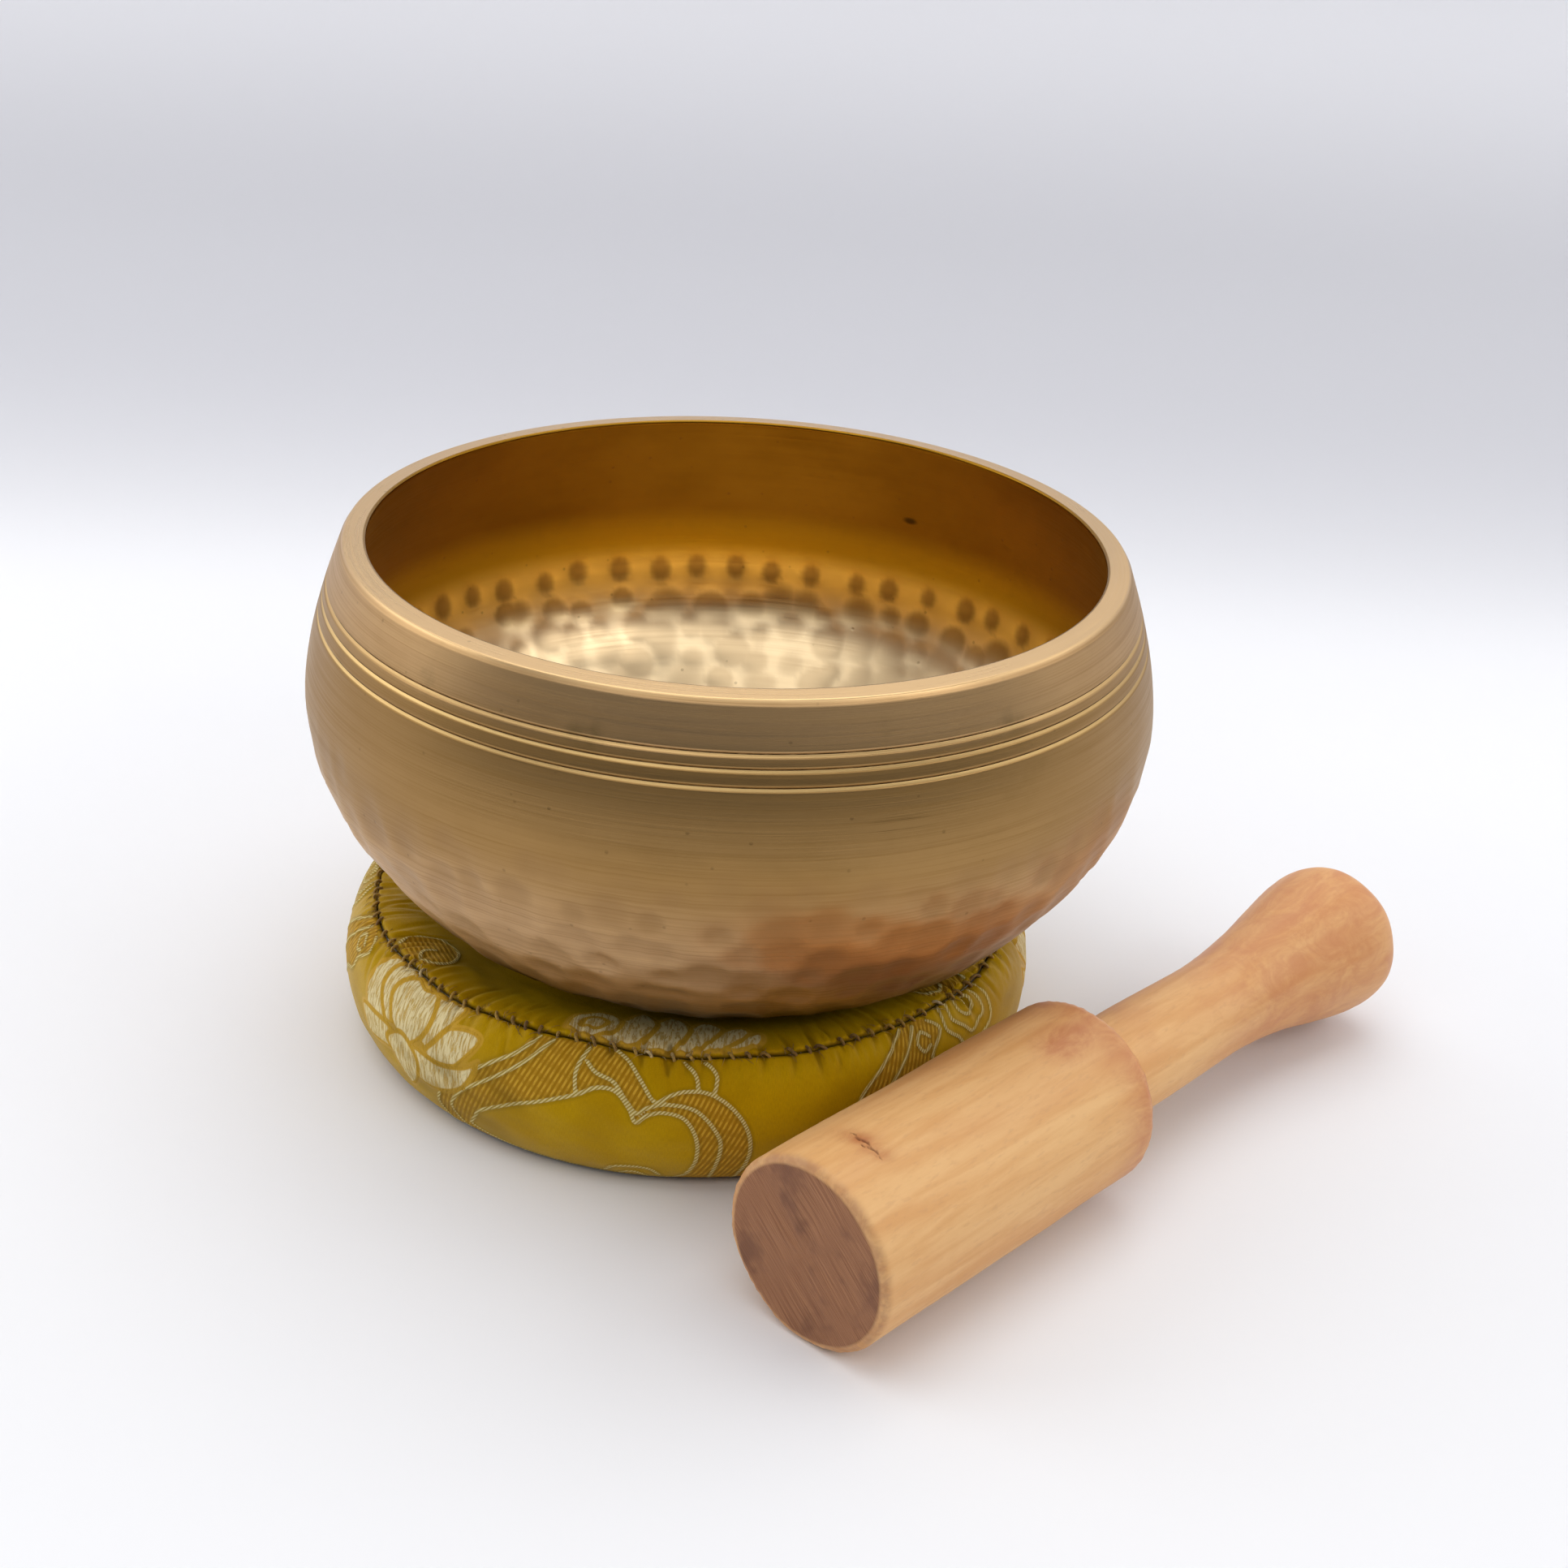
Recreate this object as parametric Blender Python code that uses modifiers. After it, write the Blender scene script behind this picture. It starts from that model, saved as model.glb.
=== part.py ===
"""Singing bowl on its brocade cushion, with a turned wooden striker lying beside it.

Units are metres and +Z is up.  The origin is the centre of the cushion's underside, on the table
top.  The bowl lifts straight up off the cushion, and the striker is picked up sideways and away
from the bowl, so the origin of each is a point that its own lift starts from.
"""

import math

import bpy

# Clearances
GAP = 0.0003                    # kept between pieces that touch
SEAM_GAP = 0.0004               # between the edges of the two covers, under the stitches

# Bowl: hammered bell metal, measured from its rim
BOWL_X = 0.005                  # it stands a little to one side of the cushion's centre
RIM_Z = 0.084
RIM_RADIUS = 0.060
RIM_WALL = 0.0036
BASE_WALL = 0.0026
BOWL_DEPTH = 0.0636
RIM_OUTER_CHAMFER = 0.0007
RIM_INNER_CHAMFER = 0.0005
BOWL_OUTLINE = [                # outer wall: radius and depth below the rim
    (RIM_RADIUS, 0.0),
    (0.0630, 0.0084),
    (0.0652, 0.0168),
    (0.0661, 0.0252),
    (0.0648, 0.0336),
    (0.0619, 0.0408),
    (0.0573, 0.0476),
    (0.0504, 0.0552),
    (0.0420, 0.0604),
    (0.0340, 0.0628),
    (0.0260, BOWL_DEPTH),
]
GROOVE_DEPTHS_BELOW_RIM = (0.0070, 0.0090, 0.0114)
GROOVE_WIDTH = 0.0008
GROOVE_DEPTH = 0.0004
BOWL_STEPS = 56

# Cushion: a round pad, dished on top where the bowl presses it
CUSHION_OUTLINE = [             # radius and height, from the middle of the top to the underside
    (0.0, 0.0201),
    (0.0330, 0.0201),
    (0.0395, 0.0208),
    (0.0450, 0.0221),
    (0.0486, 0.0226),
    (0.0510, 0.0222),
    (0.0535, 0.0202),
    (0.0552, 0.0166),
    (0.0558, 0.0120),
    (0.0550, 0.0068),
    (0.0530, 0.0026),
    (0.0499, 0.0),
]
SEAM_POINT = 5                  # place of the seam in the outline above
FABRIC = 0.0009
BASE_CLOTH_RADIUS = 0.0489
CUSHION_STEPS = 48

# Whip stitches over the seam
STITCHES = 48
THREAD_RADIUS = 0.00035
THREAD_LIFT = GAP + THREAD_RADIUS + 0.0003
STITCH_REACH = 0.0020           # from the seam, on either side

# Striker: one turned piece, measured along its axis from the striking face
STRIKER_X = 0.0209
STRIKER_Y = -0.0863
STRIKER_HEADING = math.radians(48.0)
HEAD_RADIUS = 0.0145
HEAD_LENGTH = 0.0607
HEAD_EDGE = 0.0014
SHOULDER_EDGE = 0.0022
NECK_RADIUS = 0.0081
HANDLE_OUTLINE = [              # distance beyond the shoulder and radius
    (0.0, NECK_RADIUS),
    (0.0120, 0.0082),
    (0.0240, 0.0080),
    (0.0360, 0.0079),
    (0.0470, 0.0090),
    (0.0570, 0.0109),
    (0.0650, 0.0122),
    (0.0700, 0.0121),
    (0.0732, 0.0098),
    (0.0745, 0.0060),
    (0.0750, 0.0),
]
STRIKER_STEPS = 32

BRASS = (0.52, 0.36, 0.16)
BROCADE = (0.55, 0.45, 0.03)
LINING = (0.50, 0.40, 0.06)
WADDING = (0.80, 0.77, 0.70)
THREAD = (0.10, 0.06, 0.03)
WOOD = (0.72, 0.46, 0.25)


def clear_scene():
    for obj in list(bpy.data.objects):
        bpy.data.objects.remove(obj, do_unlink=True)


def make_collection(name):
    collection = bpy.data.collections.new(name)
    bpy.context.scene.collection.children.link(collection)
    return collection


def make_material(name, colour, roughness, metallic=0.0):
    material = bpy.data.materials.new(name)
    material.use_nodes = True
    shader = material.node_tree.nodes["Principled BSDF"]
    shader.inputs["Base Color"].default_value = (*colour, 1.0)
    shader.inputs["Roughness"].default_value = roughness
    shader.inputs["Metallic"].default_value = metallic
    return material


def smooth(points, per_span):
    """Points along a Catmull-Rom curve through the given ones, ends included."""
    padded = [points[0]] + list(points) + [points[-1]]
    out = []
    for a, b, c, d in zip(padded, padded[1:], padded[2:], padded[3:]):
        for i in range(per_span):
            t = i / per_span
            out.append(tuple(
                0.5 * (2 * q + (r - p) * t + (2 * p - 5 * q + 4 * r - s) * t ** 2
                       + (3 * q - p - 3 * r + s) * t ** 3)
                for p, q, r, s in zip(a, b, c, d)))
    return out + [points[-1]]


def outward_normals(outline):
    """Unit normals of an outline that runs outwards over the top and down the outer side."""
    normals = []
    for i in range(len(outline)):
        before = outline[max(i - 1, 0)]
        after = outline[min(i + 1, len(outline) - 1)]
        across = after[0] - before[0]
        up = after[1] - before[1]
        length = math.hypot(across, up)
        normals.append((-up / length, across / length))
    return normals


def moved(point, direction, distance):
    return (point[0] + direction[0] * distance, point[1] + direction[1] * distance)


def inset(outline, depths):
    """The outline moved inwards by its own depth at each point."""
    normals = outward_normals(outline)
    return [moved(p, n, -d) for p, n, d in zip(outline, normals, depths)]


def turned(name, profile, steps, closed=False):
    """A body of revolution about its own Z, from a profile of (radius, height) points."""
    edges = [(i, i + 1) for i in range(len(profile) - 1)]
    if closed:
        edges.append((len(profile) - 1, 0))
    mesh = bpy.data.meshes.new(name)
    mesh.from_pydata([(radius, 0.0, height) for radius, height in profile], edges, [])
    obj = bpy.data.objects.new(name, mesh)
    screw = obj.modifiers.new("turn", "SCREW")
    screw.axis = "Z"
    screw.steps = steps
    screw.render_steps = steps
    screw.use_merge_vertices = True
    screw.merge_threshold = 0.00001
    screw.use_smooth_shade = True
    return obj


def finish(obj, collection, material, parent=None):
    obj.data.materials.append(material)
    collection.objects.link(obj)
    obj.parent = parent
    return obj


def cut_grooves(wall):
    """Turned V grooves in the outer wall, given as (radius, height below the rim) points."""
    half = GROOVE_WIDTH / 2
    kept = [p for p in wall
            if all(abs(-p[1] - depth) > GROOVE_WIDTH for depth in GROOVE_DEPTHS_BELOW_RIM)]
    lips = []
    for depth in GROOVE_DEPTHS_BELOW_RIM:
        for place, cut in ((depth - half, 0.0), (depth, GROOVE_DEPTH), (depth + half, 0.0)):
            lips.append((wall_radius(wall, place) - cut, -place))
    return sorted(kept + lips, key=lambda p: -p[1])


def wall_radius(wall, depth):
    """Outer radius of the wall at a depth below the rim."""
    for upper, lower in zip(wall, wall[1:]):
        if -upper[1] <= depth <= -lower[1]:
            share = (depth + upper[1]) / (upper[1] - lower[1])
            return upper[0] + (lower[0] - upper[0]) * share
    raise ValueError("no wall at this depth")


def bowl_profile():
    """Closed section of the wall: up the inside, over the flat rim and down the outside."""
    wall = smooth([(radius, -depth) for radius, depth in BOWL_OUTLINE], 3)
    last = len(wall) - 1
    walls = [RIM_WALL + (BASE_WALL - RIM_WALL) * i / last for i in range(last + 1)]
    inside = inset(wall, walls)[4::2]
    base_inner_z = -BOWL_DEPTH + BASE_WALL
    outer = [p for p in wall if -p[1] < 0.012] + [p for p in wall if -p[1] >= 0.012][::2]
    if outer[-1] != wall[-1]:
        outer.append(wall[-1])
    rim_inner = RIM_RADIUS - RIM_WALL
    profile = [(0.0, base_inner_z)]
    profile += list(reversed(inside))
    profile += [
        (rim_inner, -RIM_INNER_CHAMFER),
        (rim_inner + RIM_INNER_CHAMFER, 0.0),
        (RIM_RADIUS - RIM_OUTER_CHAMFER, 0.0),
    ]
    outer[0] = (wall_radius(wall, RIM_OUTER_CHAMFER), -RIM_OUTER_CHAMFER)
    profile += cut_grooves(outer)
    profile.append((0.0, -BOWL_DEPTH))
    return profile


def make_bowl(collection):
    bowl = turned("bowl", bowl_profile(), BOWL_STEPS)
    bowl.location = (BOWL_X, 0.0, RIM_Z)
    return finish(bowl, collection, make_material("bell_metal", BRASS, 0.35, 1.0))


def cushion_sections():
    """Outer and inner outlines of the two covers, parted at the seam, and the pad within."""
    outline = smooth(CUSHION_OUTLINE, 2)
    seam = SEAM_POINT * 2
    normals = outward_normals(outline)
    inner = inset(outline, [FABRIC] * len(outline))
    pad = inset(outline, [FABRIC + GAP] * len(outline))
    normal = normals[seam]
    along = (normal[1], -normal[0])
    top_edge = moved(outline[seam], along, -SEAM_GAP / 2)
    side_edge = moved(outline[seam], along, SEAM_GAP / 2)
    top_outer = outline[:seam] + [top_edge]
    top_inner = inner[:seam] + [moved(top_edge, normal, -FABRIC)]
    side_outer = [side_edge] + outline[seam + 1:]
    side_inner = [moved(side_edge, normal, -FABRIC)] + inner[seam + 1:]
    return {
        "top": top_outer + list(reversed(top_inner)),
        "side": side_outer + list(reversed(side_inner)),
        "pad": pad,
        "outline": outline,
        "normals": normals,
        "seam": seam,
    }


def make_cushion(collection):
    root = bpy.data.objects.new("cushion", None)
    collection.objects.link(root)
    sections = cushion_sections()
    brocade = make_material("brocade", BROCADE, 0.55)

    top = turned("cushion_top_cover", sections["top"], CUSHION_STEPS)
    finish(top, collection, brocade, root)

    side = turned("cushion_side_cover", sections["side"], CUSHION_STEPS, closed=True)
    finish(side, collection, brocade.copy(), root)

    base_profile = [(0.0, FABRIC), (BASE_CLOTH_RADIUS, FABRIC), (BASE_CLOTH_RADIUS, 0.0), (0.0, 0.0)]
    base = turned("cushion_base_cloth", base_profile, CUSHION_STEPS)
    finish(base, collection, make_material("lining", LINING, 0.8), root)

    floor = FABRIC + GAP
    pad = [(max(r, 0.0), z) for r, z in sections["pad"] if z > floor + GAP]
    pad += [(BASE_CLOTH_RADIUS, floor), (0.0, floor)]
    filling = turned("cushion_filling", pad, CUSHION_STEPS)
    finish(filling, collection, make_material("wadding", WADDING, 0.95), root)

    thread = seam_thread(sections)
    finish(thread, collection, make_material("sewing_thread", THREAD, 0.7), root)
    return root


def beside_seam(sections, reach):
    """Where the thread's middle runs, at a signed distance along the cover from the seam."""
    outline = sections["outline"]
    i = sections["seam"]
    step = 1 if reach > 0 else -1
    left = abs(reach)
    while left > 0:
        span = math.dist(outline[i], outline[i + step])
        if span >= left:
            share = left / span
            point = tuple(a + (b - a) * share for a, b in zip(outline[i], outline[i + step]))
            normal = sections["normals"][i + step]
            return moved(point, normal, THREAD_LIFT)
        left -= span
        i += step
    return moved(outline[i], sections["normals"][i], THREAD_LIFT)


def seam_thread(sections):
    """One closed thread that zigzags over the seam."""
    swing = [-STITCH_REACH, 0.0, STITCH_REACH, 0.0]
    places = [beside_seam(sections, reach) for reach in swing]
    count = STITCHES * len(places)
    curve = bpy.data.curves.new("seam_thread", "CURVE")
    curve.dimensions = "3D"
    curve.bevel_depth = THREAD_RADIUS
    curve.bevel_resolution = 1
    spline = curve.splines.new("POLY")
    spline.use_cyclic_u = True
    spline.points.add(count - 1)
    for i in range(count):
        radius, height = places[i % len(places)]
        angle = 2 * math.pi * i / count
        spline.points[i].co = (radius * math.cos(angle), radius * math.sin(angle), height, 1.0)
    return bpy.data.objects.new("seam_thread", curve)


def rounded_edge(corner_radius, corner_height, size, start, steps=3):
    """Quarter round on an edge: points from the angle start, a quarter turn clockwise."""
    centre = (corner_radius - size, corner_height)
    points = []
    for i in range(steps + 1):
        angle = start - math.pi / 2 * i / steps
        points.append((centre[0] + size * math.cos(angle), centre[1] + size * math.sin(angle)))
    return points


def make_striker(collection):
    handle = smooth([(radius, -HEAD_LENGTH - along) for along, radius in HANDLE_OUTLINE], 2)
    profile = [(0.0, 0.0)]
    profile += rounded_edge(HEAD_RADIUS, -HEAD_EDGE, HEAD_EDGE, math.pi / 2)
    profile += rounded_edge(HEAD_RADIUS, -HEAD_LENGTH + SHOULDER_EDGE, SHOULDER_EDGE, 0.0)
    profile += handle
    striker = turned("striker", profile, STRIKER_STEPS)
    striker.location = (STRIKER_X, STRIKER_Y, HEAD_RADIUS)
    striker.rotation_euler = (math.pi / 2, 0.0, STRIKER_HEADING - math.pi / 2)
    return finish(striker, collection, make_material("turned_wood", WOOD, 0.5))


def main():
    clear_scene()
    collection = make_collection("singing_bowl")
    make_bowl(collection)
    make_cushion(collection)
    make_striker(collection)


main()
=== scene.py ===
"""Looks for the singing bowl: hammered bell metal, a brocade cushion with a sewn seam, turned wood."""

import math

import bpy
import numpy as np
from mathutils import Euler, Matrix, Quaternion, Vector


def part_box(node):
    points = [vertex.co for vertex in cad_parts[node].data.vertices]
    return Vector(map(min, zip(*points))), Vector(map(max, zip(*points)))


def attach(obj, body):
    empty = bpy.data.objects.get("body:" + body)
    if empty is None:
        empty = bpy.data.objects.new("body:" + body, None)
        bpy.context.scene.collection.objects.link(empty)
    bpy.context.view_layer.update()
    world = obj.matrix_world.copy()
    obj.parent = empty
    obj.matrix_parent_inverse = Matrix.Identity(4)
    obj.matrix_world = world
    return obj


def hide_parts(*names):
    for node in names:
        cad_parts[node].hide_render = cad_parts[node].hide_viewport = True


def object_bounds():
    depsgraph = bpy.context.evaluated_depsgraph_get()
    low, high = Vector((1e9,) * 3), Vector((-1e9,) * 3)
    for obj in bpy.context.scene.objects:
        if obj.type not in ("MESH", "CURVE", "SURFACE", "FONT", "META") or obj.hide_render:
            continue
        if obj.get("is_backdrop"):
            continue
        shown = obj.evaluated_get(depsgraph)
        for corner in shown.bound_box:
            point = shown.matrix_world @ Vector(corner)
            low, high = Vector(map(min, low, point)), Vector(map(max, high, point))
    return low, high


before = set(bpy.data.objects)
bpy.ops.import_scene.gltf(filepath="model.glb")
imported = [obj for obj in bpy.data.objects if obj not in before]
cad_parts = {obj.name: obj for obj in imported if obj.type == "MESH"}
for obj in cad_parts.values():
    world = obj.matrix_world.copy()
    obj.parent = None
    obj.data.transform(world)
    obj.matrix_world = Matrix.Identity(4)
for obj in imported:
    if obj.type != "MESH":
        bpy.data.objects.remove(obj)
cad_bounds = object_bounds()

MM = 0.001
SEED = 7

# Places taken from the frame
BOWL_LOW, BOWL_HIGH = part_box("bowl")
SIDE_LOW, SIDE_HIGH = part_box("cushion_side_cover")
STRIKER_LOW, STRIKER_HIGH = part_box("striker")
BOWL_X = (BOWL_LOW.x + BOWL_HIGH.x) / 2
RIM_Z = BOWL_HIGH.z
BELLY_RADIUS = (BOWL_HIGH.x - BOWL_LOW.x) / 2
PAD_RADIUS = (SIDE_HIGH.x - SIDE_LOW.x) / 2
RIM_RADIUS = BELLY_RADIUS * 60.0 / 66.1

# Bowl, measured from its rim
WALL_AT_RIM = 3.6 * MM
WALL_AT_BASE = 2.6 * MM
BOWL_OUTLINE = [        # outer wall: radius and depth below the rim
    (60.0, 0.0), (63.0, 8.4), (65.2, 16.8), (66.1, 25.2), (64.8, 33.6), (61.9, 40.8),
    (57.3, 47.6), (50.4, 55.2), (42.0, 60.4), (34.0, 62.8), (26.0, 63.6), (0.0, 63.6)]
GROOVES = (7.0 * MM, 9.0 * MM, 11.4 * MM)
GROOVE_ABOVE, GROOVE_BELOW = 0.28 * MM, 0.52 * MM
GROOVE_DEPTH = 0.34 * MM
INNER_EDGE, OUTER_EDGE = 0.45 * MM, 0.32 * MM       # rounding of the rim's two edges
OUTER_EDGE_DROP = 0.54 * MM
BOWL_COLUMNS = 388
OUTER_DENT = 0.54 * MM

# Cushion: radius and height from the middle of the top to the underside
CUSHION_OUTLINE = [
    (0.0, 20.1), (33.0, 20.1), (39.5, 20.8), (45.0, 22.1), (48.6, 22.6), (51.0, 22.2),
    (53.5, 20.2), (55.2, 16.6), (55.8, 12.0), (55.0, 6.8), (53.0, 2.6), (49.9, 0.0)]
SEAM_POINT = 5
SEAM_RADIUS = CUSHION_OUTLINE[SEAM_POINT][0]
SEAM_REACH = 9.0                # millimetres from the seam in which its wandering fades out
CUSHION_STEPS = 24              # fine points to each span of the outline
CUSHION_COLUMNS = 960
FABRIC = 0.7 * MM
WADDING_GAP = 1.6 * MM          # from the cloth's surface in to the wadding
WADDING_LOW = 1.7 * MM          # height of its underside
WADDING_FOOT = 46.0 * MM        # radius of its underside
WADDING_COLUMNS = 300
BASE_RADIUS = 48.9 * MM
BASE_TOP, BASE_UNDER = 1.25 * MM, 0.05 * MM
BASE_COLUMNS = 480
STITCHES = 112
STITCH_POINTS = 16
CREASES = 260
FIBRES = 420

# Striker, measured along its axis from the striking face
STRIKER_HEADING = math.radians(48.0)
HEAD_RADIUS = (STRIKER_HIGH.z - STRIKER_LOW.z) / 2
HEAD_LENGTH = 60.7 * MM
FACE_EDGE, SHOULDER_EDGE = 1.4 * MM, 2.2 * MM       # rounding at the two ends of the head
STRIKER_COLUMNS = 240
KNOT_ANGLE = math.radians(86.0)
KNOT_ALONG = 9.5
KNOT_CRACKS = [         # place across and along, half length and half width
    (-0.6, 0.1, 1.5, 0.32), (1.6, -0.2, 1.2, 0.26), (-2.6, 0.5, 0.8, 0.18), (0.4, -0.7, 0.7, 0.15),
    (3.0, -0.6, 0.6, 0.16)]
HANDLE_OUTLINE = [      # distance beyond the shoulder and radius
    (0.0, 8.1), (12.0, 8.2), (24.0, 8.0), (36.0, 7.9), (47.0, 9.0), (57.0, 10.9), (65.0, 12.2),
    (70.0, 12.1), (73.2, 9.8), (74.5, 6.0), (75.0, 0.0)]


# Set: each light's name, place, the place it is aimed at, its size and its power
LIGHTS = [
    ("overhead", (-0.05, 0.14, 1.15), (0.0, 0.05, 0.0), (1.4, 1.1), 8.3),
    ("front_top", (0.0, -0.84, 0.90), (0.0, 0.0, 0.05), (2.0, 0.58), 4.6),
    ("back_top", (-0.1, 0.75, 0.72), (0.0, 0.0, 0.08), (1.6, 0.7), 4.6),
    ("left_box", (-1.0, 0.15, 0.50), (0.0, 0.0, 0.03), (0.9, 0.8), 4.5),
    ("right_box", (0.98, 0.30, 0.55), (0.0, 0.0, 0.03), (0.9, 0.9), 3.6),
    ("right_front", (0.80, -0.42, 0.64), (0.0, 0.0, 0.03), (0.5, 0.38), 1.4)]
CAMERA_PLACE = Vector((0.1537, -5.8562, 2.1958))    # from the middle of the rim, in rim radii
CAMERA_FORWARD = Vector((0.0, 0.8966, -0.4429))
CAMERA_ROLL = math.radians(3.48)
CAMERA_LENS = 55.9


# ---------------------------------------------------------------- shape helpers

def smooth(points, per_span):
    """Points along a Catmull-Rom curve through the given ones, ends included."""
    padded = [points[0]] + list(points) + [points[-1]]
    out = []
    for a, b, c, d in zip(padded, padded[1:], padded[2:], padded[3:]):
        for i in range(per_span):
            t = i / per_span
            out.append([
                0.5 * (2 * q + (r - p) * t + (2 * p - 5 * q + 4 * r - s) * t ** 2
                       + (3 * q - p - 3 * r + s) * t ** 3)
                for p, q, r, s in zip(a, b, c, d)])
    return np.array(out + [list(points[-1])])


def lengths(path):
    """Distance along a path at each of its points."""
    steps = np.hypot(*np.diff(path, axis=0).T)
    return np.concatenate([[0.0], np.cumsum(steps)])


def at_lengths(path, places):
    """Points of a path at the given distances along it."""
    run = lengths(path)
    return np.stack([np.interp(places, run, path[:, k]) for k in range(path.shape[1])], axis=1)


def outward(path):
    """Unit normals of a section that runs outwards over the top and down the outer side."""
    along = np.gradient(path, axis=0)
    along /= np.maximum(np.linalg.norm(along, axis=1), 1e-12)[:, None]
    return np.stack([-along[:, 1], along[:, 0]], axis=1)


def spaced(stops):
    """Places along a section from (start, end, spacing) stretches that follow each other."""
    places = [stops[0][0]]
    for start, end, spacing in stops:
        count = max(1, round((end - start) / spacing))
        places += [start + (end - start) * (i + 1) / count for i in range(count)]
    return np.array(places)


def soft_noise(u, v, rng, waves, low, high):
    """Smooth noise of about unit size over an angle u and a length v, whole waves round u."""
    total = np.zeros(np.broadcast(u, v).shape)
    for _ in range(waves):
        around = rng.integers(low, high + 1)
        along = rng.normal(0.0, high) / 0.06
        total += np.sin(around * u + along * v + rng.uniform(0, 2 * math.pi))
    return total / math.sqrt(waves / 2)


def round_angles(columns):
    """Angles of the columns of a turned skin, evenly round it."""
    return 2 * math.pi * np.arange(columns) / columns


def turned(radius, z, angle):
    """Points of a turned skin from its radius and height at each row and angle."""
    x, y = radius * np.cos(angle), radius * np.sin(angle)
    return np.stack([x, y, np.broadcast_to(z, x.shape)], axis=-1)


def new_piece(name, points, faces):
    """A smooth-shaded object in the scene."""
    mesh = bpy.data.meshes.new(name)
    mesh.from_pydata(points, [], faces)
    mesh.polygons.foreach_set("use_smooth", np.ones(len(faces), bool))
    mesh.update()
    piece = bpy.data.objects.new(name, mesh)
    bpy.context.scene.collection.objects.link(piece)
    return piece


def mesh_from_grid(name, grid, values, uv=None, close_start=False, close_end=False):
    """A turned skin from rows x columns x 3 points, closed round the columns.

    values are named numbers per point. An end is closed with a fan to the middle of its row.
    """
    rows, columns = grid.shape[:2]
    points = grid.reshape(-1, 3)
    row = np.arange(rows - 1)[:, None] * columns
    col = np.arange(columns)[None, :]
    nxt = (col + 1) % columns
    quads = np.stack([row + col, row + columns + col, row + columns + nxt, row + nxt], axis=-1)
    faces = quads.reshape(-1, 4).tolist()
    extra = []
    for wanted, start, turn in ((close_start, 0, 1), (close_end, (rows - 1) * columns, -1)):
        if wanted:
            hub = len(points) + len(extra)
            extra.append(points[start:start + columns].mean(axis=0))
            for k in range(columns):
                pair = (start + k, start + (k + 1) % columns)[::turn]
                faces.append([hub, pair[0], pair[1]])
    if extra:
        points = np.concatenate([points, np.array(extra)])
    piece = new_piece(name, points.tolist(), faces)
    mesh = piece.data
    for key, field in values.items():
        flat = np.broadcast_to(field, (rows, columns)).astype(float).reshape(-1)
        ends = [flat[:columns].mean()] * close_start + [flat[-columns:].mean()] * close_end
        layer = mesh.attributes.new(key, "FLOAT", "POINT")
        layer.data.foreach_set("value", np.concatenate([flat, ends]).astype(np.float32))
    if uv is not None:
        write_uv(mesh, uv, rows, columns)
    return piece


def write_uv(mesh, uv, rows, columns):
    """UVs in millimetres: round the piece and along its section, without a jump at the join."""
    around, along = uv
    step = np.arange(columns + 1) * around / columns
    left, right = step[None, :-1], step[None, 1:]
    above, below = along[:-1, None], along[1:, None]
    corners = (left, above, left, below, right, below, right, above)
    quads = np.stack([np.broadcast_to(c, (rows - 1, columns)) for c in corners], axis=-1)
    layer = mesh.uv_layers.new(name="Weave")
    flat = np.zeros(len(mesh.loops) * 2, np.float32)
    flat[:quads.size] = quads.reshape(-1)
    layer.data.foreach_set("uv", flat)
    layer.active_render = True


# ---------------------------------------------------------------- node helpers

def srgb(red, green, blue):
    """A colour given as 0 to 255 display values, as the linear colour that shaders use."""
    def linear(v):
        v /= 255.0
        return v / 12.92 if v <= 0.04045 else ((v + 0.055) / 1.055) ** 2.4
    return (linear(red), linear(green), linear(blue), 1.0)


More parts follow.
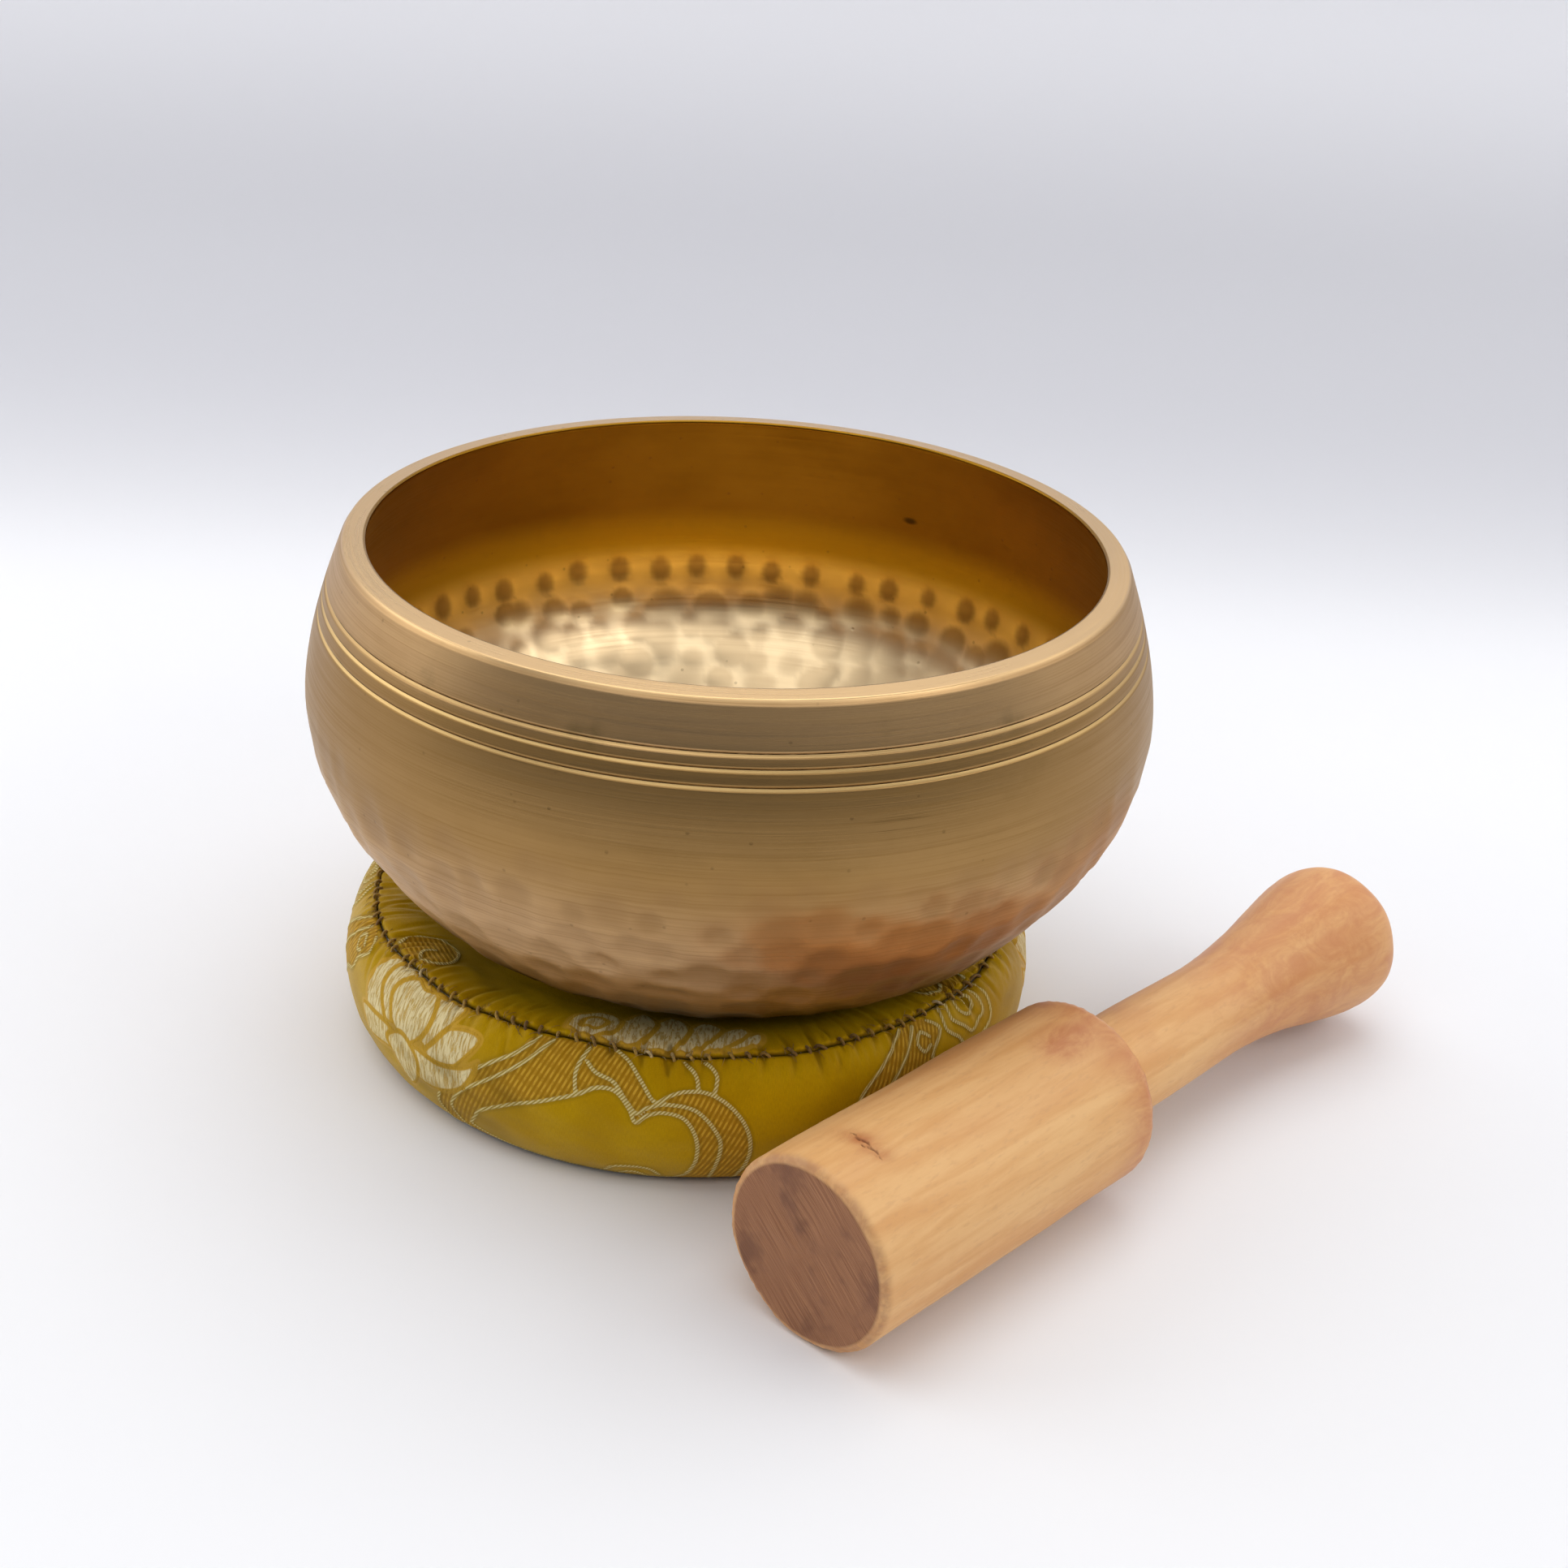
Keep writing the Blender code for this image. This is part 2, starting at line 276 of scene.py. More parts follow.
class Nodes:
    """Short names for building one material's nodes."""

    def __init__(self, name):
        self.material = bpy.data.materials.new(name)
        self.material.use_nodes = True
        self.tree = self.material.node_tree
        self.shader = self.tree.nodes["Principled BSDF"]

    def link(self, value, socket):
        if isinstance(value, bpy.types.NodeSocket):
            self.tree.links.new(value, socket)
        else:
            socket.default_value = value

    def set(self, **inputs):
        for key, value in inputs.items():
            self.link(value, self.shader.inputs[key.replace("_", " ")])

    def attribute(self, name):
        node = self.tree.nodes.new("ShaderNodeAttribute")
        node.attribute_name = name
        return node.outputs["Fac"]

    def attributes(self, *names):
        return [self.attribute(name) for name in names]

    def uv(self):
        node = self.tree.nodes.new("ShaderNodeUVMap")
        node.uv_map = "Weave"
        return node.outputs["UV"]

    def object_point(self):
        return self.tree.nodes.new("ShaderNodeTexCoord").outputs["Object"]

    def mapping(self, vector, scale, location=(0, 0, 0)):
        node = self.tree.nodes.new("ShaderNodeMapping")
        self.link(vector, node.inputs["Vector"])
        node.inputs["Scale"].default_value = scale
        node.inputs["Location"].default_value = location
        return node.outputs["Vector"]

    def combine(self, x, y, z):
        node = self.tree.nodes.new("ShaderNodeCombineXYZ")
        for value, socket in zip((x, y, z), node.inputs):
            self.link(value, socket)
        return node.outputs["Vector"]

    def separate(self, vector):
        node = self.tree.nodes.new("ShaderNodeSeparateXYZ")
        self.link(vector, node.inputs["Vector"])
        return node.outputs["X"], node.outputs["Y"], node.outputs["Z"]

    def noise(self, vector, scale, detail=3.0, roughness=0.5, distortion=0.0):
        node = self.tree.nodes.new("ShaderNodeTexNoise")
        self.link(vector, node.inputs["Vector"])
        node.inputs["Scale"].default_value = scale
        node.inputs["Detail"].default_value = detail
        node.inputs["Roughness"].default_value = roughness
        node.inputs["Distortion"].default_value = distortion
        return node.outputs["Fac"]

    def grain(self, vector, scale, detail, roughness, distortion=0.0, location=(0, 0, 0)):
        """Noise stretched along the axes: a larger scale is finer."""
        place = self.mapping(vector, scale, location)
        return self.noise(place, 1.0, detail, roughness, distortion)

    def math(self, operation, a, b=0.0):
        node = self.tree.nodes.new("ShaderNodeMath")
        node.operation = operation
        self.link(a, node.inputs[0])
        self.link(b, node.inputs[1])
        return node.outputs["Value"]

    def times(self, a, b):
        return self.math("MULTIPLY", a, b)

    def plus(self, a, b):
        return self.math("ADD", a, b)

    def minus(self, a, b):
        return self.math("SUBTRACT", a, b)

    def larger(self, a, b):
        return self.math("MAXIMUM", a, b)

    def span(self, value, low, high, out_low=0.0, out_high=1.0):
        """Smooth step of a value from low to high."""
        node = self.tree.nodes.new("ShaderNodeMapRange")
        node.interpolation_type = "SMOOTHSTEP"
        for key, number in (("Value", value), ("From Min", low), ("From Max", high),
                            ("To Min", out_low), ("To Max", out_high)):
            self.link(number, node.inputs[key])
        return node.outputs["Result"]

    def mix(self, factor, a, b):
        """From colour a to colour b; the sockets of a mix for colours have no names of their own."""
        node = self.tree.nodes.new("ShaderNodeMix")
        node.data_type = "RGBA"
        self.link(factor, node.inputs["Factor"])
        self.link(a, node.inputs[6])
        self.link(b, node.inputs[7])
        return node.outputs[2]

    def coat(self, tone, mask, amount, colour):
        """A tone with an amount of a display colour over it where the mask is 1."""
        return self.mix(self.times(mask, amount), tone, srgb(*colour))

    def voronoi(self, vector, scale):
        node = self.tree.nodes.new("ShaderNodeTexVoronoi")
        self.link(vector, node.inputs["Vector"])
        node.inputs["Scale"].default_value = scale
        return node.outputs["Distance"]

    def spot(self, point, centre, size):
        """1 in the middle of a spot given by its centre and half sizes in millimetres, 0 outside it."""
        scale = [1 / (s * MM) for s in size]
        place = self.mapping(point, scale, location=[-c * MM * k for c, k in zip(centre, scale)])
        node = self.tree.nodes.new("ShaderNodeVectorMath")
        node.operation = "LENGTH"
        self.link(place, node.inputs[0])
        return self.span(node.outputs["Value"], 1.0, 0.3)

    def bump(self, height, distance, strength):
        node = self.tree.nodes.new("ShaderNodeBump")
        self.link(height, node.inputs["Height"])
        node.inputs["Distance"].default_value = distance
        node.inputs["Strength"].default_value = strength
        return node.outputs["Normal"]


# ---------------------------------------------------------------- bowl

def bowl_wall():
    """Outer wall of the bowl as (radius, height below the rim), and its inner wall."""
    wall = smooth([(r * MM, -d * MM) for r, d in BOWL_OUTLINE], 16)
    share = np.linspace(0.0, 1.0, len(wall))[:, None]
    thickness = WALL_AT_RIM + (WALL_AT_BASE - WALL_AT_RIM) * share
    inside = wall - outward(wall) * thickness
    inside[-1, 0] = 0.0
    return wall, inside[inside[:, 1] < -4.0 * MM]


def rim_turn(centre, size, start, end, count=6):
    """Small rounded edge of the rim."""
    angles = np.radians(np.linspace(start, end, count))
    return np.stack([centre[0] + size * np.cos(angles), centre[1] + size * np.sin(angles)], axis=1)


def bowl_section():
    """The whole section: up the inside, over the flat rim, down the outside; and its stations."""
    wall, inside = bowl_wall()
    inner_edge = RIM_RADIUS - WALL_AT_RIM
    inner_turn = rim_turn((inner_edge + INNER_EDGE, -INNER_EDGE), INNER_EDGE, 180, 90)
    outer_turn = rim_turn((RIM_RADIUS - OUTER_EDGE, -OUTER_EDGE_DROP), OUTER_EDGE, 84, 12)
    outside = wall[wall[:, 1] < -0.9 * MM]
    path = np.concatenate([inside[::-1], inner_turn, outer_turn, outside])
    run = lengths(path)
    rim = run[len(inside) + len(inner_turn) - 1]
    return path, run, run[len(inside) - 1], rim


def run_at_depth(path, run, depth, low, high):
    """Distance along the section where it passes a depth below the rim, between two stations."""
    held = (run >= low) & (run <= high)
    order = np.argsort(-path[held, 1])
    return float(np.interp(depth, -path[held, 1][order], run[held][order]))


def ring_of_marks(rng, station, radius, spacing, size, depth, jitter, tall=1.0):
    """Hammer marks evenly round the bowl at one station: angle, station, half width, half height, depth."""
    count = max(1, round(2 * math.pi * radius / spacing))
    turn = rng.uniform(0, 2 * math.pi)
    marks = []
    for k in range(count):
        half = size / 2 * rng.uniform(1 - jitter * 0.35, 1 + jitter * 0.35)
        angle = turn + 2 * math.pi * (k + jitter * rng.uniform(-0.42, 0.42)) / count
        place = station + jitter * rng.uniform(-0.28, 0.28) * spacing
        marks.append((angle, place, half, half * tall, depth * rng.uniform(1 - 0.5 * jitter, 1)))
    return marks


def press_marks(marks, grid, path, run, angles):
    """Depth of the hammered surface below the turned one: each mark is a shallow cap."""
    depth = np.zeros(grid.shape[:2])
    for angle, station, half_width, half_height, deep in marks:
        reach = 1.05 * max(half_width, half_height)
        rows = np.nonzero(np.abs(run - station) < reach)[0]
        if not len(rows):
            continue
        radius, height = (float(np.interp(station, run, path[:, k])) for k in range(2))
        centre = np.array([radius * math.cos(angle), radius * math.sin(angle), height])
        swing = math.pi if radius < 1.5 * reach else 1.3 * reach / (radius - reach * 0.5)
        away = np.abs((angles - angle + math.pi) % (2 * math.pi) - math.pi)
        cols = np.nonzero(away < swing)[0]
        block = np.ix_(rows, cols)
        offset = grid[block] - centre
        tangent = np.array([-math.sin(angle), math.cos(angle), 0.0])
        across = offset @ tangent
        down = np.sqrt(np.maximum((offset ** 2).sum(-1) - across ** 2, 0.0))
        squared = (across / half_width) ** 2 + (down / half_height) ** 2
        cap = deep * np.clip(1 - squared, 0, None)
        depth[block] = np.maximum(depth[block], cap)
    return depth


def hammer_marks(path, run, inner_end, outer_start):
    """The two hammered zones: the bowl's floor and lower wall inside, and its lower wall outside."""
    rng = np.random.default_rng(SEED)
    inside, outside = [], []

    def radius(place):
        return float(np.interp(place, run, path[:, 0]))

    first = run_at_depth(path, run, 29.8 * MM, 0.3 * inner_end, inner_end)
    inside += ring_of_marks(rng, first, radius(first), 7.3 * MM, 4.9 * MM, 0.20 * MM, 0.3, 1.12)
    place = first - 6.0 * MM
    while place > 2.0 * MM:
        inside += ring_of_marks(rng, place, radius(place), 5.8 * MM, 7.0 * MM, 0.27 * MM, 0.9)
        place -= 4.9 * MM
    place = run_at_depth(path, run, 27.0 * MM, outer_start, run[-1])
    faint = 0.45
    while place < run[-1] - 20.0 * MM:
        outside += ring_of_marks(rng, place, radius(place), 7.3 * MM, 7.5 * MM, faint * OUTER_DENT, 0.8)
        place += 5.6 * MM
        faint = min(1.0, faint + 0.2)
    return inside, outside


def make_bowl():
    path, run, inner_end, rim_start = bowl_section()
    hammered_end = run_at_depth(path, run, 23.0 * MM, 0.3 * inner_end, inner_end)
    outer_start = run_at_depth(path, run, 1.6 * MM, rim_start, run[-1])
    hammer_start = run_at_depth(path, run, 26.0 * MM, rim_start, run[-1])
    base_start = run[-1] - 27.0 * MM
    zones = [
        (0.8 * MM, 30 * MM, 1.6 * MM), (30 * MM, hammered_end, 0.92 * MM),
        (hammered_end, inner_end, 1.6 * MM), (inner_end, rim_start - 0.5 * MM, 0.4 * MM),
        (rim_start - 0.5 * MM, outer_start, 0.14 * MM)]
    for depth in GROOVES:
        start, end = (run_at_depth(path, run, depth + shift * MM, rim_start, run[-1])
                      for shift in (-0.5, 0.75))
        zones += [(zones[-1][1], start, 0.8 * MM), (start, end, 0.13 * MM)]
    zones += [(zones[-1][1], hammer_start, 1.4 * MM), (hammer_start, base_start, 1.05 * MM),
              (base_start, run[-1] - 1.5 * MM, 2.2 * MM)]
    stations = spaced(zones)
    section = at_lengths(path, stations)
    normals = outward(section)
    angles = round_angles(BOWL_COLUMNS)
    grid = turned(section[:, :1], section[:, 1:], angles)
    skin = turned(normals[:, :1], normals[:, 1:], angles)
    inside, outside = hammer_marks(path, run, inner_end, outer_start)
    dents_in = press_marks(inside, grid, section, stations, angles)
    dents_in = dents_in * np.clip(section[:, 0] / (9 * MM), 0, 1)[:, None] ** 2
    dents_out = press_marks(outside, grid, section, stations, angles)

    below = -section[:, 1]
    outer = stations > rim_start
    groove, lip = np.zeros(len(stations)), np.zeros(len(stations))
    for depth in GROOVES:
        away = (below - depth) * outer + 9.0 * (1 - outer)
        slope = np.where(away < 0, 1 + away / GROOVE_ABOVE, 1 - away / GROOVE_BELOW)
        groove = np.maximum(groove, np.clip(slope, 0, 1))
        lip = np.maximum(lip, np.clip(slope, 0, 1) * (away > 0))
    cut = dents_in + dents_out + (groove ** 0.85 * GROOVE_DEPTH)[:, None]
    rng = np.random.default_rng(SEED + 1)
    uneven = soft_noise(angles[None, :], stations[:, None], rng, 14, 2, 9)
    lower = np.clip((below - 20 * MM) / (20 * MM), 0, 1)[:, None]
    calm = np.clip(section[:, 0] / (28 * MM), 0, 1)[:, None] ** 2
    cut = cut + (0.10 + 0.10 * uneven * calm) * MM * lower
    grid = grid - skin * cut[..., None]

    values = {
        "dent": dents_in / (0.30 * MM) + dents_out / OUTER_DENT,
        "groove": (groove * (groove > lip))[:, None],
        "lip": lip[:, None],
        "inside": (1.0 - outer)[:, None],
        "below": below[:, None] / MM,
        "run": stations[:, None] / MM,
    }
    bowl = mesh_from_grid("hammered_bowl", grid, values, close_start=True, close_end=True)
    bowl.location = (BOWL_X, 0.0, RIM_Z)
    bowl.data.materials.append(bell_metal())
    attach(bowl, "bowl")
    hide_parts("bowl")


def bell_metal():
    n = Nodes("bell_metal_satin")
    point = n.object_point()
    x, y, _ = n.separate(point)
    run, inside, dent, groove, below = n.attributes("run", "inside", "dent", "groove", "below")

    # turning lines run round the bowl: they are long round it and fine along its section
    lathe = n.combine(n.times(x, 11.0), n.times(y, 11.0), n.times(run, 1.5))
    fine = n.noise(lathe, 2.2, 4.0, 0.65)
    coarse = n.noise(lathe, 0.55, 3.0, 0.55)
    patches = n.grain(point, (24, 24, 40), 4.0, 0.6)
    blotch = n.grain(point, (55, 55, 55), 5.0, 0.6, location=(3, 1, 7))

    tone = n.mix(n.span(patches, 0.35, 0.7), srgb(206, 169, 124), srgb(188, 152, 108))
    lathed = n.minus(1.0, n.times(inside, n.span(below, 26.0, 32.0)))
    tone = n.coat(tone, n.span(fine, 0.45, 0.66), 0.40, (164, 129, 84))
    tone = n.coat(tone, n.span(coarse, 0.55, 0.40), 0.15, (226, 188, 136))
    stain = n.times(n.span(blotch, 0.60, 0.74), n.span(below, 30.0, 8.0))
    tone = n.coat(tone, stain, 0.45, (108, 98, 70))
    # Inside: deep gold high on the wall, brighter gold lower down and pale cream on the floor. This is
    # partly the metal's own tone and partly painted reflection, darker up the wall and bright on the floor.
    inside_tone_and_reflection = n.mix(n.span(patches, 0.3, 0.7), srgb(158, 115, 32), srgb(140, 99, 22))
    inside_tone_and_reflection = n.mix(n.span(below, 17.0, 23.5), inside_tone_and_reflection, srgb(190, 150, 36))
    inside_tone_and_reflection = n.mix(n.span(below, 24.5, 30.0), inside_tone_and_reflection, srgb(244, 202, 104))
    inside_tone_and_reflection = n.mix(n.span(below, 30.0, 39.0), inside_tone_and_reflection, srgb(254, 226, 180))
    # Painted reflection: a darker brown band on the outer wall, from just below the rim and strongest from
    # the grooves down past the belly.
    upper = n.times(n.span(below, 5.0, 9.5, 0.35, 1.0), n.span(below, 40.0, 24.0))
    tone = n.coat(tone, upper, 0.76, (144, 109, 54))
    tone = n.mix(n.span(below, 0.8, 0.35), tone, srgb(216, 180, 130))
    # Painted shade: the outer wall near the foot turns dark brown where it sits over the cushion.
    tone = n.mix(n.span(below, 49.0, 58.0, 0.0, 0.9), tone, srgb(70, 46, 17))
    tone = n.mix(inside, tone, inside_tone_and_reflection)
    hollow = n.times(n.span(dent, 0.05, 0.55), n.span(inside, 0.0, 1.0, 0.46, 0.72))
    hollow = n.times(hollow, n.span(below, 38.0, 32.0, 0.42, 1.0))
    tone = n.mix(hollow, tone, n.mix(inside, srgb(150, 116, 74), srgb(132, 94, 46)))
    pits = n.voronoi(n.mapping(point, (260, 260, 260)), 1.0)
    tone = n.coat(tone, n.span(pits, 0.10, 0.04), 0.3, (96, 74, 44))
    # Darker brown and rougher on the grooves' upper flanks and bottoms, in patches.
    groove_patches = n.grain(point, (420, 420, 420), 2.0, 0.6)
    groove_darkening = n.times(n.span(groove, 0.40, 0.85), n.span(groove_patches, 0.3, 0.6, 0.5, 0.95))
    tone = n.mix(groove_darkening, tone, srgb(62, 40, 24))
    # Painted highlight: a bright pale gold line along each groove's lower lip, broken up by the turning
    # lines.
    painted_lip_highlight = n.times(n.span(n.attribute("lip"), 0.05, 0.4), n.span(coarse, 0.4, 0.6, 0.3, 0.65))
    tone = n.mix(painted_lip_highlight, tone, srgb(252, 218, 150))
    smear = n.times(n.spot(point, (21.7, -58.5, -5.0), (3.4, 5.0, 3.4)), n.span(blotch, 0.4, 0.6))
    tone = n.coat(tone, smear, 0.55, (84, 78, 54))
    dashes = n.times(n.spot(point, (25.0, -60.0, -17.3), (7.0, 6.0, 2.2)), n.span(fine, 0.56, 0.64))
    tone = n.coat(tone, dashes, 0.7, (74, 56, 34))
    speck = n.spot(point, (28.6, 54.4, -15.6), (1.7, 3.0, 0.9))
    tone = n.coat(tone, speck, 0.8, (50, 40, 16))

    rough = n.plus(n.times(n.span(fine, 0.35, 0.65), 0.08), 0.36)
    rough = n.minus(rough, n.times(inside, 0.06))
    rough = n.minus(rough, n.span(below, 0.9, 0.2, 0.0, 0.12))
    rough = n.plus(rough, n.times(n.span(patches, 0.3, 0.7), 0.06))
    rough = n.plus(rough, n.times(groove_darkening, 0.3))
    lines = n.plus(n.times(fine, 0.7), n.times(coarse, 0.25))
    pitted = n.times(n.span(pits, 0.10, 0.02), -0.6)
    normal = n.bump(n.plus(n.times(lines, lathed), pitted), 0.00005, 0.5)
    n.set(Base_Color=tone, Metallic=1.0, Roughness=rough, Normal=normal, Anisotropic=0.3)
    tangent = n.tree.nodes.new("ShaderNodeTangent")
    tangent.direction_type = "RADIAL"
    tangent.axis = "Z"
    n.link(tangent.outputs["Tangent"], n.shader.inputs["Tangent"])
    return n.material


# ---------------------------------------------------------------- woven pattern

def wrapped(angle):
    """Degrees brought to -180 to 180."""
    return (np.asarray(angle, float) + 180.0) % 360.0 - 180.0


def line_distance(x, y, points):
    """Distance from each place to an open line of points, and whether it is inside the line closed."""
    best = np.full(x.shape, 1e9)
    crossings = np.zeros(x.shape, int)
    closed = np.vstack([points, points[:1]])
    for k, (a, b) in enumerate(zip(closed[:-1], closed[1:])):
        if a[1] != b[1]:
            low, high = (a, b) if a[1] < b[1] else (b, a)
            within = (y >= low[1]) & (y < high[1])
            cut = low[0] + (y - low[1]) * (high[0] - low[0]) / (high[1] - low[1] + 1e-12)
            crossings += within & (x < cut)
        if k == len(points) - 1:
            continue
        span = b - a
        t = np.clip(((x - a[0]) * span[0] + (y - a[1]) * span[1]) / (span @ span + 1e-12), 0, 1)
        best = np.minimum(best, np.hypot(x - a[0] - t * span[0], y - a[1] - t * span[1]))
    return best, crossings % 2 == 1


FAR = 6.0       # millimetres from a motif at which the cloth is plain


class Weave:
    """Distances in millimetres to the pattern's cream cords, ochre fields and cream petals."""

    def __init__(self, across, along, degrees_to_mm):
        self.across = across
        self.along = along
        self.scale = degrees_to_mm
        shape = np.broadcast(across, along).shape
        self.cord, self.fill, self.petal, self.rim = (np.full(shape, FAR) for _ in range(4))

    def curve(self, points, flip):
        """A motif's points as a smooth line in millimetres."""
        return smooth(np.array([(flip * x * self.scale, y) for x, y in points]), 5)

    def place(self, points, centre, flip):
        """Columns round a motif, the places they cover and the motif's own smooth line."""
        shape = self.curve(points, flip)
        local = wrapped(self.across - centre) * self.scale
        spread = shape[:, 0].max() + 7, shape[:, 0].min() - 7
        cols = np.nonzero((local.reshape(-1) < spread[0]) & (local.reshape(-1) > spread[1]))[0]
        x, y = np.broadcast_arrays(local.reshape(-1)[cols][None, :], self.along.reshape(-1)[:, None])
        return cols, x, y, shape

    def draw_cord(self, points, centre, flip):
        cols, x, y, shape = self.place(points, centre, flip)
        distance, _ = line_distance(x, y, shape)
        self.cord[:, cols] = np.minimum(self.cord[:, cols], distance)

    def draw_fill(self, outline, opening, centre, flip):
        """An ochre field inside an outline, less an opening."""
        cols, x, y, shape = self.place(outline + outline[:1], centre, flip)
        distance, inside = line_distance(x, y, shape)
        field = np.where(inside, -distance, distance)
        if opening is not None:
            distance, inside = line_distance(x, y, self.curve(opening + opening[:1], flip))
            field = np.maximum(field, np.where(inside, distance, -distance))
        self.fill[:, cols] = np.minimum(self.fill[:, cols], field)

    def draw_petal(self, outline, centre, flip):
        """A cream petal laid over what is there, with its own ochre rim."""
        cols, x, y, shape = self.place(outline + outline[:1], centre, flip)
        distance, inside = line_distance(x, y, shape)
        self.petal[:, cols] = np.where(inside, -distance, np.minimum(self.petal[:, cols], distance))
        self.rim[:, cols] = np.where(inside, distance, np.minimum(self.rim[:, cols], distance))
        self.cord[:, cols] = np.where(inside, FAR, self.cord[:, cols])

    def values(self):
        fields = {"cord": self.cord, "fill": self.fill, "petal": self.petal, "petal_rim": self.rim}
        return {key: np.clip(field, -FAR, FAR) for key, field in fields.items()}


# Cloud scroll on the side band, in degrees round the cushion and millimetres below the seam
CLOUD_INNER = [(-18, 20.4), (-16.5, 18.2), (-14.6, 15.7), (-9.0, 12.5), (-3.4, 10.1), (2.0, 8.0),
               (5.2, 6.4), (8.2, 6.4), (10.4, 8.6), (11.5, 10.6), (13.2, 9.3), (15.8, 8.6), (19.0, 9.6),
               (20.9, 13.8), (20.2, 19.2), (16.5, 23.4), (6.0, 24.6), (-6.0, 23.4), (-14.5, 21.8)]
CLOUD_MIDDLE = [(-3.4, 1.0), (-6.6, 4.6), (-11.0, 8.1), (-17.1, 12.5), (-20.7, 16.5), (-21.3, 19.6),
                (-19.0, 22.4)]
CLOUD_MIDDLE_RIGHT = [(3.1, 3.1), (4.8, 4.4), (7.8, 5.2), (10.0, 7.6), (11.6, 9.2), (13.0, 8.2),
                      (16.0, 7.3), (20.5, 8.1), (23.8, 11.9), (24.4, 15.7), (23.0, 22.8)]
CLOUD_OUTER = [(-5.9, 0.9), (-8.6, 4.0), (-13.0, 6.9), (-19.9, 11.9), (-23.7, 16.5), (-24.6, 20.0),
               (-22.0, 24.0)]
CLOUD_OUTER_RIGHT = [(7.6, 0.7), (9.8, 1.9), (12.2, 4.6), (14.3, 7.1), (16.4, 6.0), (19.0, 5.2),
                     (22.6, 5.6), (26.2, 8.1), (28.6, 12.1), (28.9, 17.0), (27.0, 23.9)]
CLOUD_STALKS = [
    [(3.0, 1.0), (1.6, 4.6), (2.0, 8.0)],
    [(18.6, 0.9), (20.4, 3.0), (20.7, 5.2)],
    [(21.8, 0.9), (23.6, 2.9), (23.2, 5.7)]]
CLOUD_FIELD = CLOUD_OUTER[::-1] + CLOUD_OUTER_RIGHT
CLOUD_CURL = [(6.0, 23.0), (7.4, 20.6), (10.0, 19.9), (13.4, 20.3), (15.2, 22.2)]
CLOUD_CURL_IN = [(8.4, 23.2), (9.6, 21.8), (11.4, 21.6), (13.0, 23.0)]

# Sprig of scrolls that climbs the band, drawn as cords over an ochre field
SPRIG_FIELD = [(-9.0, 15.0), (-6.5, 9.0), (-1.0, 4.2), (3.5, 0.8), (9.5, 0.9), (12.0, 3.4), (9.0, 6.2),
               (7.5, 9.0), (3.4, 10.8), (-1.0, 14.8), (-4.6, 19.4), (-8.8, 20.0)]
SPRIG_CORDS = [
    [(-9.0, 19.0), (-8.6, 14.0), (-6.0, 8.8), (-0.6, 4.4), (3.8, 0.9)],
    [(-5.6, 19.6), (-4.6, 14.4), (-1.6, 9.6), (2.8, 5.4), (6.8, 1.2)],
    [(-1.0, 14.8), (3.4, 10.8), (7.5, 9.0), (9.0, 6.2), (12.0, 3.6), (10.2, 1.4)],
    [(9.2, 3.8), (7.6, 2.6), (6.2, 4.0), (7.2, 5.6), (8.8, 5.0)]]

# Open flower: outlines of petals from the back ones to the front ones
FLOWER_PETALS = [
    [(-9.5, 12.5), (-12.8, 8.6), (-12.2, 3.4), (-8.6, 0.8), (-6.0, 5.0), (-6.8, 10.0)],
    [(9.5, 12.0), (13.2, 8.4), (15.6, 4.6), (11.4, 4.2), (6.8, 6.6), (5.2, 10.4)],
    [(-5.6, 9.6), (-8.4, 5.6), (-7.6, 1.2), (-3.8, 0.8), (-1.8, 4.6), (-2.6, 8.4)],
    [(5.4, 9.0), (7.8, 6.0), (10.6, 1.4), (6.6, 0.9), (2.4, 2.4), (1.6, 6.8)],
    [(-3.8, 8.6), (-5.0, 4.6), (-2.4, 1.4), (0.6, 1.8), (3.4, 1.4), (4.8, 4.8), (2.8, 8.8), (-0.6, 10.6)],
    [(-6.2, 14.6), (-11.6, 15.0), (-13.6, 11.2), (-9.4, 10.6), (-3.6, 11.0), (-1.6, 13.4)],
    [(1.6, 13.2), (3.2, 10.6), (8.6, 11.0), (13.4, 9.6), (15.8, 8.2), (13.4, 12.8), (8.2, 15.6),
     (3.8, 15.8)],
    [(-2.0, 16.4), (-4.6, 12.8), (-1.0, 10.4), (2.8, 12.2), (2.6, 16.0), (0.2, 18.6)]]

# Small knot of nested arcs below the seam
KNOT_CORDS = [
    [(-1.8, 0.6), (-2.2, 2.4), (-0.6, 3.8), (1.4, 3.0), (1.6, 1.2), (0.2, 0.8), (-0.4, 2.0)],
    [(-4.0, 0.6), (-4.6, 3.2), (-2.6, 5.0), (-0.8, 6.6), (1.6, 5.6), (3.6, 4.6), (3.8, 1.8), (3.0, 0.6)],
    [(-6.0, 0.6), (-6.8, 4.0), (-4.6, 6.2), (-2.6, 8.8), (1.8, 8.2), (5.4, 6.4), (6.2, 2.8), (5.2, 0.6)]]

